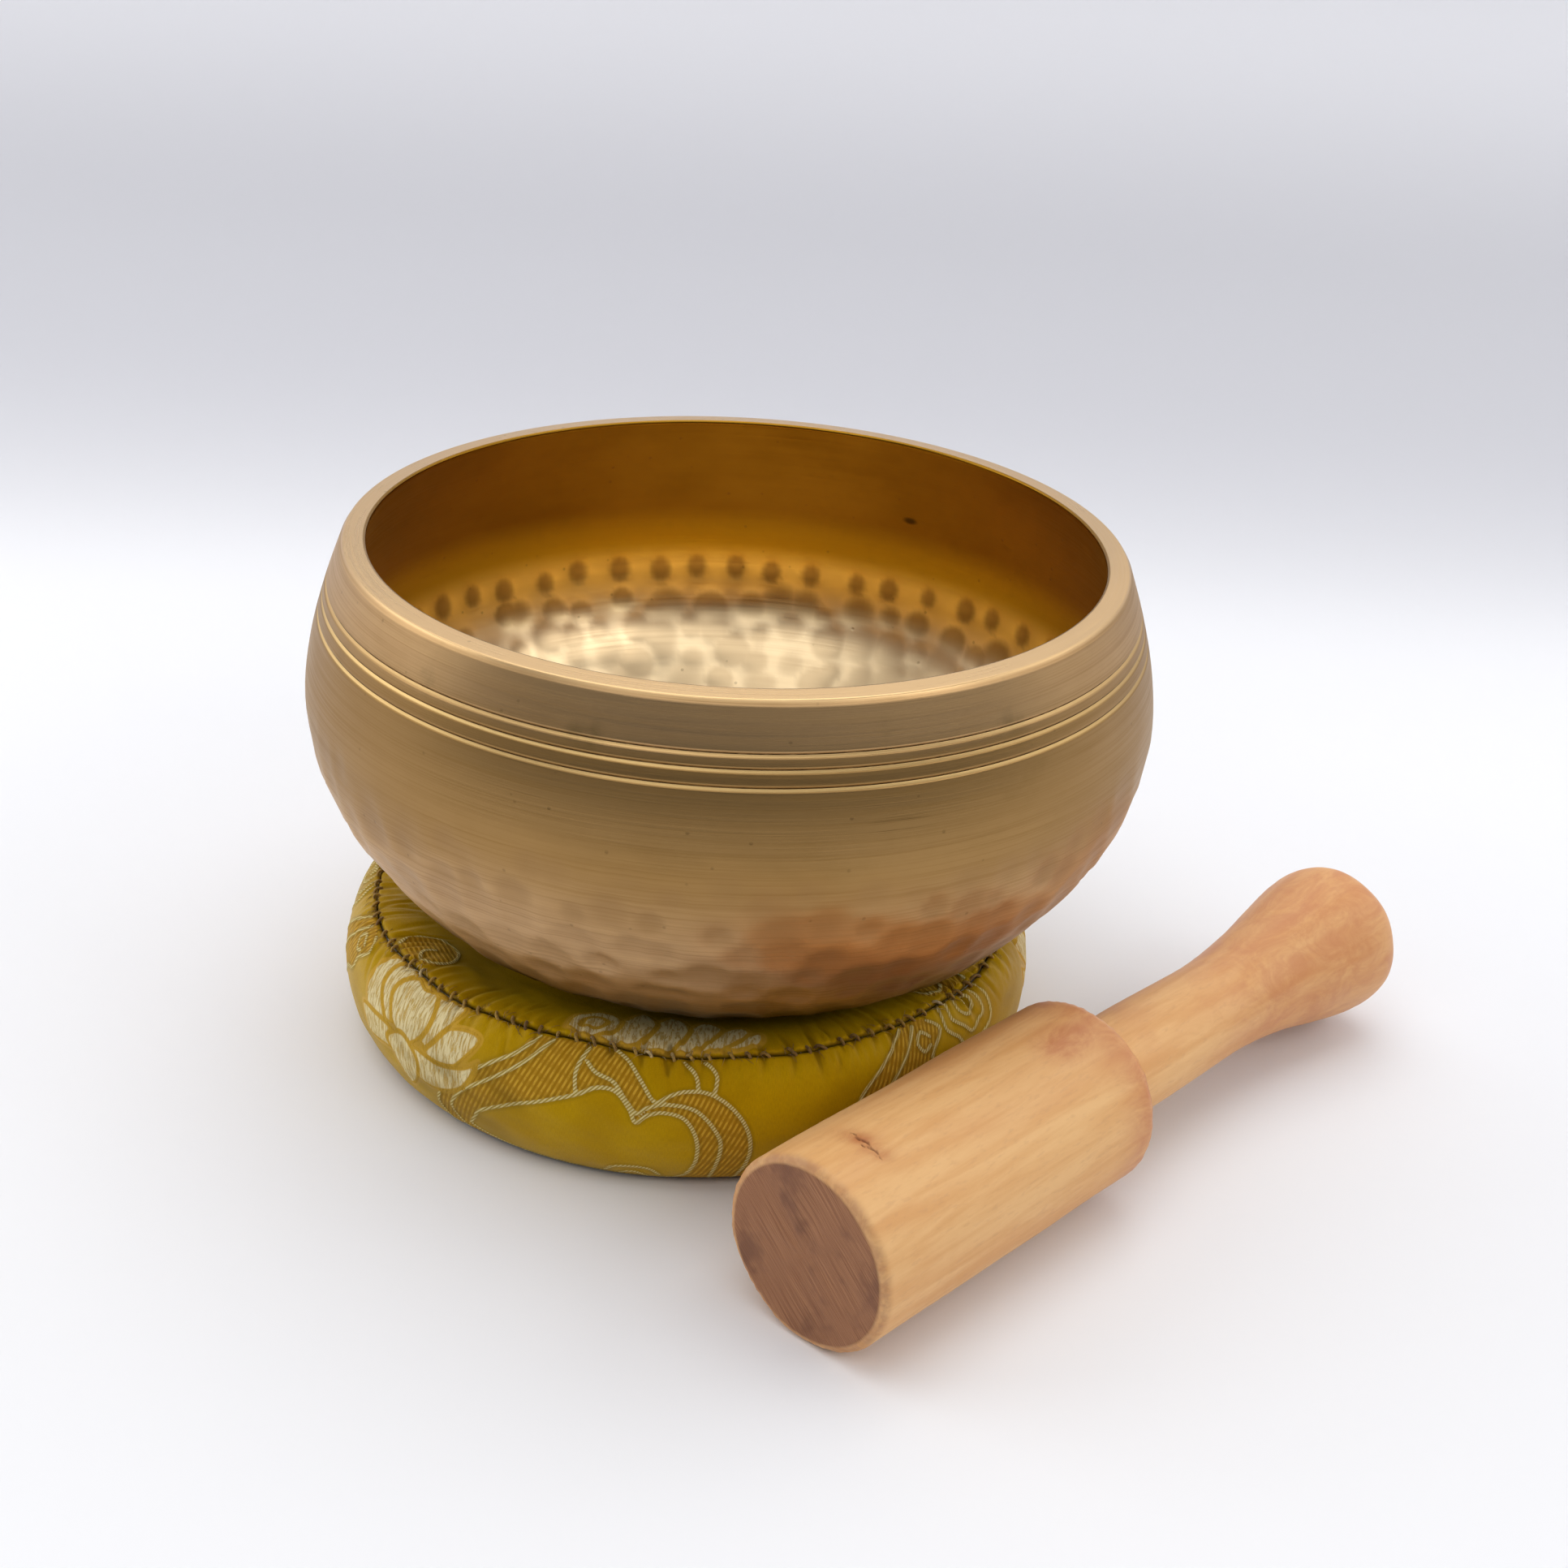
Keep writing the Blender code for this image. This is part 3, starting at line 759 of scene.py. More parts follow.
# Fan of narrow leaves beside a curl, on the top panel
FAN_LEAVES = [
    [(10.0, -1.4), (14.6, -4.0), (19.0, -5.4), (18.4, -2.6), (14.0, -1.2)],
    [(5.6, -1.4), (10.0, -5.0), (15.2, -8.2), (17.0, -5.8), (12.0, -1.8)],
    [(1.0, -1.4), (4.4, -6.6), (9.0, -10.8), (12.2, -8.0), (7.2, -1.8)],
    [(-4.0, -1.4), (-1.8, -7.4), (2.0, -12.4), (5.8, -8.8), (3.0, -1.8)],
    [(-9.0, -1.4), (-7.4, -7.4), (-4.4, -12.6), (-0.8, -9.0), (-3.0, -1.8)],
    [(-15.4, -2.4), (-15.8, -6.4), (-12.6, -10.0), (-8.2, -8.6), (-7.6, -4.0), (-11.0, -1.4)],
    [(-13.4, -3.6), (-13.6, -6.0), (-11.8, -7.6), (-9.8, -6.2), (-10.4, -3.6)]]
PETAL_SPREAD = 1.14
CURL = [(-7.0, -1.2), (-8.4, -4.6), (-5.8, -8.2), (-0.8, -9.0), (3.2, -6.4), (3.0, -3.2), (0.4, -1.8),
        (-2.2, -3.4), (-1.8, -5.4)]
CURL_FIELD = [(-7.0, -1.2), (-8.4, -4.6), (-5.8, -8.2), (-0.8, -9.0), (3.2, -6.4), (3.6, -2.6), (0.4, -1.0)]


def draw_cloud(weave, centre, flip):
    weave.draw_fill(CLOUD_FIELD, CLOUD_INNER, centre, flip)
    draw_cords(weave, [CLOUD_INNER + CLOUD_INNER[:1], CLOUD_MIDDLE, CLOUD_MIDDLE_RIGHT, CLOUD_OUTER,
                       CLOUD_OUTER_RIGHT, CLOUD_CURL, CLOUD_CURL_IN] + CLOUD_STALKS, centre, flip)


def draw_cords(weave, lines, centre, flip):
    for line in lines:
        weave.draw_cord(line, centre, flip)


def draw_sprig(weave, centre, flip):
    weave.draw_fill(SPRIG_FIELD, None, centre, flip)
    draw_cords(weave, SPRIG_CORDS, centre, flip)


def draw_petals(weave, petals, centre, flip):
    for petal in petals:
        middle = np.mean(petal, axis=0)
        wide = [tuple(middle + PETAL_SPREAD * (np.array(p) - middle)) for p in petal]
        weave.draw_petal(wide, centre, flip)


def side_weave(degrees, below):
    weave = Weave(degrees[None, :], below[:, None], math.radians(1.0) * PAD_RADIUS / MM * 0.97)
    for centre, flip in ((-16.0, 1.0), (133.0, -1.0), (-116.0, 1.0)):
        draw_cloud(weave, centre, flip)
    for centre, flip in ((37.0, 1.0), (173.0, -1.0), (-77.0, 1.0)):
        draw_sprig(weave, centre, flip)
    for centre, flip in ((-48.0, 1.0), (97.0, -1.0), (-156.0, 1.0)):
        draw_petals(weave, FLOWER_PETALS, centre, flip)
    for centre, flip in ((57.0, 1.0), (-91.0, -1.0)):
        draw_cords(weave, KNOT_CORDS, centre, flip)
    return weave.values()


def top_weave(degrees, below, radius):
    """The top panel: motifs near the seam and a ring of scallops round the middle."""
    weave = Weave(degrees[None, :], below[:, None], math.radians(1.0) * 46.0)
    for centre, flip in ((-55.0, 1.0), (55.0, -1.0), (105.0, 1.0), (168.0, -1.0), (-112.0, 1.0)):
        weave.draw_fill(CURL_FIELD, None, centre, flip)
        weave.draw_cord(CURL, centre, flip)
    for centre, flip in ((-3.0, 1.0), (136.0, -1.0), (-143.0, 1.0), (80.0, 1.0)):
        draw_petals(weave, FAN_LEAVES, centre, flip)
    r = (radius / MM)[:, None]
    lobes = 3.0 * np.abs(np.cos(np.radians(4.0 * degrees)))[None, :]
    weave.cord = np.minimum(weave.cord, np.abs(r - 20.0 - lobes))
    weave.cord = np.minimum(weave.cord, np.abs(r - 16.5 - lobes))
    weave.cord = np.minimum(weave.cord, np.abs(r - 6.0 - lobes * 0.4))
    ring = np.maximum(r - 20.0 - lobes, 16.5 + lobes - r)
    weave.fill = np.minimum(weave.fill, np.minimum(ring, r - 6.0 - lobes * 0.4))
    return weave.values()


# ---------------------------------------------------------------- cushion

def cushion_path():
    """Fine section of the cushion and the distance of each point past the seam."""
    path = smooth([(r * MM, z * MM) for r, z in CUSHION_OUTLINE], CUSHION_STEPS)
    run = lengths(path)
    return path, run - run[SEAM_POINT * CUSHION_STEPS]


def seam_wander(angle):
    """How far the hand-sewn seam strays, outwards and upwards, at an angle."""
    lift = 0.42 * np.sin(3 * angle + 0.6) + 0.26 * np.sin(7 * angle + 2.0) + 0.16 * np.sin(17 * angle)
    drift = 0.30 * np.sin(4 * angle + 1.1) + 0.20 * np.sin(11 * angle + 0.4)
    return drift * MM, lift * MM


def stitch_places(rng):
    """Angles of the stitches, unevenly spaced as hand sewing is."""
    pitch = 2 * math.pi / STITCHES
    return (np.arange(STITCHES) + rng.uniform(-0.32, 0.32, STITCHES)) * pitch


def gathers(angle, below, side):
    """Small folds that run from the stitches, in metres above the smooth cloth."""
    rng = np.random.default_rng(SEED + 3)
    places = stitch_places(rng)
    pull = rng.uniform(0.55, 1.35, STITCHES)
    closed = np.concatenate([places, places[:1] + 2 * math.pi])
    past_first = (angle - closed[0]) % (2 * math.pi)
    index = np.interp(past_first + closed[0], closed, np.arange(STITCHES + 1))
    nearest = np.round(index).astype(int) % STITCHES
    phase = np.abs(index - np.round(index)) * 2
    dip = pull[nearest] * (np.cos(math.pi * phase) * 0.5 + 0.5) ** 0.8
    away = np.abs(below)[:, None] / MM
    reach, height = (3.0, 0.62) if side < 0 else (2.2, 0.46)
    folds = height * (0.42 - dip)[None, :] * np.exp(-(away / reach) ** 1.4) * np.clip(away / 0.5, 0, 1)

    creases = np.zeros((len(below), len(angle)))
    for _ in range(CREASES):
        centre = rng.uniform(0, 2 * math.pi)
        long = rng.uniform(2.5, 8.0) if side > 0 else rng.uniform(3.5, 11.0)
        width = rng.uniform(0.35, 0.75)
        lean = rng.uniform(-0.35, 0.35)
        deep = rng.uniform(0.08, 0.30)
        offset = ((angle - centre + math.pi) % (2 * math.pi) - math.pi) * SEAM_RADIUS
        cols = np.nonzero(np.abs(offset) < 8.0)[0]
        line = offset[cols][None, :] - lean * away
        fade = np.clip(1 - away / long, 0, 1) ** 0.7 * np.clip(away / 0.6, 0, 1)
        wave = (1 - (line / width) ** 2) * np.exp(-0.5 * (line / width) ** 2)
        creases[:, cols] -= deep * fade * wave
    return (folds + creases) * MM


def padding(angle, below):
    """Low swells of the filling and a few soft dents."""
    rng = np.random.default_rng(SEED + 5)
    broad = soft_noise(angle[None, :], below[:, None], rng, 10, 2, 7)
    small = soft_noise(angle[None, :], below[:, None] * 2.5, rng, 16, 9, 30)
    return (0.16 * broad + 0.05 * small) * MM


def cushion_skin(below, side):
    """One panel of the cover as a closed sheet: outer face rows, and an inner face under them.

    below is the distance of each row past the seam, and side is 1 for the band and -1 for the top.
    """
    path, run = cushion_path()
    normals = outward(path)
    table = np.column_stack([path, normals])
    rows = np.stack([np.interp(below, run, table[:, k]) for k in range(4)], axis=1)
    angle = round_angles(CUSHION_COLUMNS)
    degrees = wrapped(np.degrees(angle) + 90.0)
    weave = side_weave(degrees, below / MM) if side > 0 else top_weave(degrees, below / MM, rows[:, 0])

    away = np.abs(below) / MM
    height = gathers(angle, below, side)
    open_cloth = 1 - np.exp(-(away / 7.0) ** 2)
    if side < 0:
        pressed = np.clip((rows[:, 0] - 34 * MM) / (8 * MM), 0, 1)
        height = height + padding(angle, below) * (open_cloth * pressed)[:, None]
    else:
        grounded = np.clip(rows[:, 1] / (4 * MM), 0, 1)
        height = height + padding(angle, below) * (open_cloth * grounded)[:, None]
        height = height * np.clip(rows[:, 1] / (2 * MM), 0, 1)[:, None]
    raised = np.clip(1 - weave["cord"] / 0.5, 0, 1) * 0.12 + np.clip(-weave["petal"] / 0.4, 0, 1) * 0.08
    height = height + raised * MM * (away > 1.2)[:, None]
    turned_in = 0.55 * MM * np.clip(1 - away / 0.75, 0, 1) ** 1.6
    height = height - turned_in[:, None]

    drift, lift = seam_wander(angle)
    hold = np.exp(-(away / SEAM_REACH) ** 2)[:, None]
    if side > 0:
        hold = hold * np.clip(rows[:, 1] / (6 * MM), 0, 1)[:, None]

    def placed(extra):
        radius = rows[:, :1] + rows[:, 2:3] * extra + drift[None, :] * hold
        z = rows[:, 1:2] + rows[:, 3:] * extra + lift[None, :] * hold
        return turned(radius, z, angle)

    outer = placed(height)
    lining = placed(np.minimum(height, 0.0) - FABRIC)
    picked = np.unique(np.concatenate([np.arange(0, len(below), 7), [len(below) - 1]]))
    if side < 0:
        grid = np.concatenate([lining[picked], outer[::-1]])[::-1]
        order = np.concatenate([picked, np.arange(len(below))[::-1]])[::-1]
    else:
        grid = np.concatenate([outer, lining[picked][::-1]])
        order = np.concatenate([np.arange(len(below)), picked[::-1]])
    values = {key: field[order] for key, field in weave.items()}
    values["below_seam"] = away[order][:, None]
    values["fold"] = (height / MM)[order]
    return grid, values, below[order] / MM


def planar_uv(mesh):
    """UVs in millimetres straight down on the piece."""
    points = np.zeros(len(mesh.vertices) * 3, np.float32)
    mesh.vertices.foreach_get("co", points)
    corners = np.zeros(len(mesh.loops), np.int32)
    mesh.loops.foreach_get("vertex_index", corners)
    layer = mesh.uv_layers.new(name="Weave")
    layer.data.foreach_set("uv", (points.reshape(-1, 3)[corners, :2] / MM).astype(np.float32).reshape(-1))
    layer.active_render = True


def make_cushion():
    _, run = cushion_path()
    start, end = run[0], run[-1]
    near = 9.0 * MM
    top_rows = spaced([(start + 0.6 * MM, start + 24 * MM, 1.4 * MM), (start + 24 * MM, -near, 0.75 * MM),
                       (-near, -1.2 * MM, 0.33 * MM), (-1.2 * MM, -0.16 * MM, 0.2 * MM)])
    grid, values, _ = cushion_skin(top_rows, -1)
    top = mesh_from_grid("cushion_top_panel", grid, values, close_start=True, close_end=True)
    planar_uv(top.data)
    top.data.materials.append(brocade("brocade_top_cloth"))
    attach(top, "cushion")
    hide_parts("cushion_top_cover")

    side_rows = spaced([(0.16 * MM, 1.2 * MM, 0.2 * MM), (1.2 * MM, 8 * MM, 0.31 * MM),
                        (8 * MM, end - 1.0 * MM, 0.36 * MM)])
    grid, values, along = cushion_skin(side_rows, 1)
    grid = np.concatenate([grid, grid[:1]])
    values = {key: np.concatenate([field, field[:1]]) for key, field in values.items()}
    side = mesh_from_grid("cushion_side_band", grid, values,
                          uv=(2 * math.pi * PAD_RADIUS / MM, np.concatenate([along, along[:1]])))
    side.data.materials.append(brocade("brocade_side_cloth"))
    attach(side, "cushion")
    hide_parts("cushion_side_cover")


def brocade(name):
    """Satin ground, ochre twill fields, twisted cream cords and ribbed cream petals."""
    n = Nodes(name)
    uv = n.uv()
    u, v, _ = n.separate(uv)
    cord, fill, petal, petal_rim, seam = n.attributes("cord", "fill", "petal", "petal_rim", "below_seam")
    ragged = n.grain(uv, (1.6, 1.6, 1.6), 3.0, 0.6)
    edge = n.times(n.minus(ragged, 0.5), 0.22)

    satin_threads = n.grain(uv, (9.0, 1.1, 1.0), 2.0, 0.5)
    floats = n.grain(uv, (2.4, 11.0, 1.0), 2.0, 0.6)
    shade = n.grain(uv, (0.07, 0.09, 1.0), 2.0, 0.5)
    ground = n.mix(n.span(shade, 0.35, 0.65), srgb(192, 150, 5), srgb(176, 134, 4))
    ground = n.coat(ground, n.span(satin_threads, 0.35, 0.7), 0.35, (150, 113, 8))
    ground = n.coat(ground, n.span(floats, 0.5, 0.75), 0.3, (204, 174, 40))

    # twill: short slanting floats in rows
    slant = n.plus(n.times(u, 1.15), n.times(v, 0.55))
    steps = n.math("SINE", n.times(slant, 2 * math.pi))
    breaks = n.math("SINE", n.times(n.minus(v, n.times(u, 0.35)), 2 * math.pi / 2.3))
    breaks = n.plus(breaks, n.span(ragged, 0.3, 0.7, -0.9, 0.9))
    twill = n.times(n.span(steps, -0.5, 0.6), n.span(breaks, -0.9, 0.3, 0.45, 1.0))
    ochre = n.mix(twill, srgb(162, 116, 22), srgb(206, 160, 52))
    tone = n.mix(n.span(n.plus(fill, edge), 0.12, -0.12), ground, ochre)

    strands = n.grain(uv, (2.6, 0.35, 1.0), 3.0, 0.6, 0.6)
    ribs = n.span(strands, 0.42, 0.60, -1.0, 1.0)
    cream = n.mix(n.span(ribs, -0.6, 1.0), srgb(232, 214, 162), srgb(198, 162, 86))
    cream = n.coat(cream, n.span(floats, 0.45, 0.7), 0.35, (238, 230, 200))
    petal_in = n.span(n.plus(petal, edge), 0.1, -0.1)
    tone = n.mix(petal_in, tone, cream)
    outline = n.span(n.plus(petal_rim, edge), 0.62, 0.36)
    tone = n.mix(n.times(outline, n.span(petal, 0.9, 0.4)), tone, srgb(200, 154, 48))

    twist = n.math("SINE", n.times(n.plus(u, v), 2 * math.pi / 0.62))
    cord_tone = n.mix(n.span(twist, -0.6, 0.5), srgb(170, 144, 70), srgb(226, 209, 148))
    cord_in = n.span(n.plus(cord, n.times(edge, 0.6)), 0.38, 0.21)
    cord_in = n.times(cord_in, n.span(petal, -0.1, 0.3))
    tone = n.mix(cord_in, tone, cord_tone)
    shadow = n.times(n.span(cord, 0.95, 0.45), n.minus(1.0, cord_in))
    tone = n.coat(tone, shadow, 0.28, (110, 84, 12))

    # Painted shade: the cloth darker in its sunken folds and creases.
    painted_crease_shade = n.span(n.attribute("fold"), -0.05, -0.40)
    tone = n.coat(tone, painted_crease_shade, 0.55, (104, 74, 12))
    # Painted shade: the cloth darker along the seam line, with a ragged edge.
    painted_seam_shade = n.span(n.plus(seam, n.times(edge, 4.0)), 0.65, 0.1)
    tone = n.coat(tone, painted_seam_shade, 0.5, (92, 66, 20))

    weave_height = n.plus(n.times(satin_threads, 0.25), n.times(floats, 0.25))
    weave_height = n.plus(weave_height, n.times(n.times(twill, 0.8), n.span(fill, 0.1, -0.1)))
    weave_height = n.plus(weave_height, n.times(cord_in, n.span(twist, -0.8, 0.8, 0.7, 1.3)))
    weave_height = n.plus(weave_height, n.times(petal_in, n.span(ribs, 0.9, -0.6, 0.2, 0.8)))
    normal = n.bump(weave_height, 0.00014, 0.8)
    raised = n.larger(cord_in, n.larger(petal_in, n.span(fill, 0.1, -0.1)))
    rough = n.span(raised, 0.0, 1.0, 0.42, 0.62)
    n.set(Base_Color=tone, Roughness=rough, Normal=normal, Sheen_Weight=0.12, Sheen_Roughness=0.5,
          Sheen_Tint=srgb(255, 232, 40), Specular_IOR_Level=0.30, Specular_Tint=srgb(255, 222, 50))
    return n.material


def make_wadding():
    """Lump of cotton wadding inside the cover, seen only where the cover is cut away."""
    cover, _ = cushion_path()
    inner = cover - outward(cover) * WADDING_GAP
    upper = inner[(inner[:, 1] > 3.4 * MM) & (inner[:, 0] > 1.0 * MM)]
    base = np.array([[WADDING_FOOT, WADDING_LOW], [1.0 * MM, WADDING_LOW]])
    path = np.concatenate([upper, base])
    stations = spaced([(0.0, lengths(path)[-1], 1.5 * MM)])
    section = at_lengths(path, stations)
    angle = round_angles(WADDING_COLUMNS)
    rng = np.random.default_rng(SEED + 8)
    lumps = soft_noise(angle[None, :], stations[:, None], rng, 24, 6, 40)
    radius = section[:, :1] - np.abs(lumps) * 0.22 * MM
    z = section[:, 1:] - np.abs(lumps) * 0.12 * MM * (section[:, 1:] > 10 * MM)
    grid = turned(radius, z, angle)
    wadding = mesh_from_grid("cushion_wadding", grid, {}, close_start=True, close_end=True)
    n = Nodes("cotton_wadding")
    point = n.object_point()
    tufts = n.grain(point, (300, 300, 300), 6.0, 0.7, 1.2)
    clouds = n.grain(point, (60, 60, 60), 3.0, 0.6)
    tone = n.mix(n.span(tufts, 0.3, 0.7), srgb(214, 205, 186), srgb(242, 237, 224))
    tone = n.coat(tone, n.span(clouds, 0.5, 0.75), 0.4, (196, 182, 156))
    n.set(Base_Color=tone, Roughness=0.95, Normal=n.bump(tufts, 0.0006, 0.9), Sheen_Weight=0.4)
    wadding.data.materials.append(n.material)
    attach(wadding, "cushion")
    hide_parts("cushion_filling")


def make_base_panel():
    """Round lining under the cushion, gathered a little at its edge."""
    outline = np.array([
        [0.8 * MM, BASE_TOP], [BASE_RADIUS - 2.0 * MM, BASE_TOP], [BASE_RADIUS - 0.5 * MM, 1.1 * MM],
        [BASE_RADIUS, 0.62 * MM], [BASE_RADIUS - 0.5 * MM, 0.12 * MM],
        [BASE_RADIUS - 2.4 * MM, BASE_UNDER], [0.8 * MM, BASE_UNDER]])
    run = lengths(outline)
    stations = spaced([(0.0, run[1], 3.0 * MM), (run[1], run[5], 0.3 * MM), (run[5], run[6], 0.9 * MM)])
    section = at_lengths(outline, stations)
    angle = round_angles(BASE_COLUMNS)
    rng = np.random.default_rng(SEED + 9)
    puckers = soft_noise(angle[None, :], stations[:, None] * 0.3, rng, 16, 30, 90)
    swell = soft_noise(angle[None, :], stations[:, None], rng, 10, 2, 9)
    edge = np.exp(-((BASE_RADIUS - section[:, 0]) / (4 * MM)) ** 2)[:, None]
    under = (stations > run[4])[:, None]
    rise = 0.10 * np.abs(puckers) * edge + 0.12 * np.abs(swell) + 0.01
    grid = turned(section[:, :1], section[:, 1:] + under * rise * MM, angle)
    values = {"inward": ((BASE_RADIUS - section[:, 0]) / MM)[:, None]}
    panel = mesh_from_grid("cushion_base_panel", grid, values, close_start=True, close_end=True)
    planar_uv(panel.data)
    n = Nodes("base_lining_cloth")
    u, v, _ = n.separate(n.uv())
    warp = n.math("SINE", n.times(u, 2 * math.pi / 0.55))
    weft = n.math("SINE", n.times(v, 2 * math.pi / 0.6))
    weave = n.times(warp, weft)
    slub = n.grain(n.uv(), (0.25, 2.2, 1.0), 3.0, 0.6)
    tone = n.mix(n.span(weave, -0.5, 0.5), srgb(150, 118, 34), srgb(184, 150, 56))
    tone = n.coat(tone, n.span(slub, 0.5, 0.7), 0.5, (204, 174, 84))
    stitch = n.times(n.span(n.math("ABSOLUTE", n.minus(n.attribute("inward"), 3.0)), 0.35, 0.2),
                     n.span(n.plus(warp, weft), -0.2, 0.2))
    tone = n.mix(stitch, tone, srgb(92, 64, 26))
    n.set(Base_Color=tone, Roughness=0.8, Normal=n.bump(n.plus(weave, slub), 0.0001, 0.7),
          Sheen_Weight=0.2)
    panel.data.materials.append(n.material)
    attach(panel, "cushion")
    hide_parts("cushion_base_cloth")


def tubes(paths, radii, sides):
    """Points and faces of round threads along open paths."""
    points, faces = [], []
    turn = 2 * math.pi * np.arange(sides) / sides
    for path, radius in zip(paths, radii):
        base = len(points)
        along = np.gradient(path, axis=0)
        along /= np.maximum(np.linalg.norm(along, axis=1), 1e-12)[:, None]
        side = np.cross(along, [0.0, 0.0, 1.0])
        side /= np.maximum(np.linalg.norm(side, axis=1), 1e-9)[:, None]
        up = np.cross(side, along)
        across = side[:, None] * np.cos(turn)[None, :, None] + up[:, None] * np.sin(turn)[None, :, None]
        ring = path[:, None] + radius[:, None, None] * across
        points += ring.reshape(-1, 3).tolist()
        for i in range(len(path) - 1):
            for k in range(sides):
                a, b = base + i * sides, base + (i + 1) * sides
                faces.append([a + k, a + (k + 1) % sides, b + (k + 1) % sides, b + k])
        last = base + (len(path) - 1) * sides
        faces.append([base + k for k in range(sides)][::-1])
        faces.append([last + k for k in range(sides)])
    return points, faces


def seam_ground(angle, below):
    """Places on the smooth cloth near the seam, with their outward directions."""
    path, run = cushion_path()
    table = np.column_stack([path, outward(path)])
    r, z, nr, nz = (np.interp(below, run, table[:, k]) for k in range(4))
    drift, lift = seam_wander(angle)
    hold = np.exp(-(np.abs(below) / (SEAM_REACH * MM)) ** 2)
    r = r + drift * hold
    z = z + lift * hold
    turn = np.stack([np.cos(angle), np.sin(angle)], axis=-1)
    place = np.concatenate([turn * r[:, None], z[:, None]], axis=1)
    away = np.concatenate([turn * nr[:, None], nz[:, None]], axis=1)
    return place, away


def make_stitches():
    """One thread that whips over the seam and passes under the cloth, with its frayed ends."""
    places = stitch_places(np.random.default_rng(SEED + 3))
    places = np.concatenate([places, places[:1] + 2 * math.pi])
    rng = np.random.default_rng(SEED + 12)
    angle, below, height, thick = [], [], [], []
    for k in range(STITCHES):
        here, ahead = places[k], places[k + 1]
        slant = rng.uniform(0.05, 0.5) * (ahead - here)
        bite_top, bite_side = rng.uniform(0.35, 0.95), rng.uniform(0.35, 0.9)
        crown = rng.uniform(0.05, 0.3)
        for i in range(STITCH_POINTS):
            t = i / STITCH_POINTS
            if t < 0.5:
                s = t / 0.5
                angle.append(here + slant * s)
                height.append((-0.45 + (0.5 + crown) * math.sin(math.pi * s) ** 0.6) * MM)
                swing = -math.cos(math.pi * s)
            else:
                s = (t - 0.5) / 0.5
                angle.append(here + slant + (ahead - here - slant) * s)
                height.append((-0.45 - 1.0 * math.sin(math.pi * s)) * MM)
                swing = math.cos(math.pi * s)
            below.append(swing * (bite_side if swing > 0 else bite_top) * MM)
            thick.append((0.24 if t < 0.5 else 0.16) * MM)
    place, away = seam_ground(np.array(angle), np.array(below))
    thread = place + away * np.array(height)[:, None]
    paths, radii = [np.concatenate([thread, thread[:1]])], [np.array(thick + thick[:1])]
    for _ in range(FIBRES):
        start = rng.uniform(0, 2 * math.pi)
        out = rng.uniform(-1.0, 1.0)
        long = rng.uniform(0.5, 1.9)
        lean = rng.normal(0.0, 0.6)
        steps = np.linspace(0.0, 1.0, 6)
        curl = rng.normal(0.0, 0.25)
        line_angle = start + (lean * long * steps + curl * steps ** 2) / SEAM_RADIUS
        line_below = (out * 0.3 + math.copysign(long, out) * steps) * MM
        spot, up = seam_ground(line_angle, line_below)
        rise = (-0.30 + rng.uniform(0.25, 0.65) * np.sin(math.pi * 0.75 * steps)) * MM
        paths.append(spot + up * rise[:, None])
        radii.append(np.linspace(0.07, 0.025, 6) * MM)
    points, faces = tubes(paths[:1], radii[:1], 7)
    more, more_faces = tubes(paths[1:], radii[1:], 4)
    offset = len(points)
    faces += [[v + offset for v in face] for face in more_faces]
    stitches = new_piece("seam_whip_stitches", points + more, faces)
    n = Nodes("twisted_sewing_thread")
    point = n.object_point()
    ply = n.grain(point, (2600, 2600, 1500), 2.0, 0.5)
    stretch = n.grain(point, (70, 70, 70), 2.0, 0.5)
    tone = n.mix(n.span(stretch, 0.34, 0.50), srgb(118, 84, 28), srgb(182, 142, 50))
    tone = n.mix(n.span(stretch, 0.54, 0.62), tone, srgb(216, 198, 150))
    tone = n.coat(tone, n.span(ply, 0.4, 0.65), 0.5, (60, 38, 16))
    n.set(Base_Color=tone, Roughness=0.7, Normal=n.bump(ply, 0.00008, 0.8), Sheen_Weight=0.2)
    stitches.data.materials.append(n.material)
    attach(stitches, "cushion")
    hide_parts("seam_thread")


# ---------------------------------------------------------------- striker

def striker_section():
    """Section of the striker from the middle of its face to the knob: radius, distance along."""
    turn = np.radians(np.linspace(90, 0, 8))
    front = np.stack([HEAD_RADIUS - FACE_EDGE + FACE_EDGE * np.cos(turn),
                      FACE_EDGE - FACE_EDGE * np.sin(turn)], axis=1)
    back = np.stack([HEAD_RADIUS - SHOULDER_EDGE + SHOULDER_EDGE * np.cos(turn[::-1]),
                     HEAD_LENGTH - SHOULDER_EDGE + SHOULDER_EDGE * np.sin(turn[::-1])], axis=1)
    handle = smooth([(r * MM, HEAD_LENGTH + s * MM) for s, r in HANDLE_OUTLINE], 10)
    return np.concatenate([[[0.0, 0.0]], front, back, handle])


def knot_mark(along, angle):
    """Torn cracks of a small knot on the head and the reddened wood round them."""
    x = -(angle[None, :] - KNOT_ANGLE) * HEAD_RADIUS / MM
    y = along[:, None] - KNOT_ALONG
    cracks = np.zeros(x.shape)
    for cx, cy, long, wide in KNOT_CRACKS:
        bend = 0.14 * np.sin(2.3 * (x - cx)) + 0.05 * np.sin(7.0 * x)
        cracks = np.maximum(cracks, np.exp(-((x - cx) / long) ** 4 - ((y - cy - bend) / wide) ** 2))
    bruise = np.exp(-(x / 4.2) ** 2 - ((y - 0.1 * x) / 1.7) ** 2)
    on_head = ((along > 3.0) & (along < 24.0))[:, None]
    return cracks * on_head, bruise * on_head


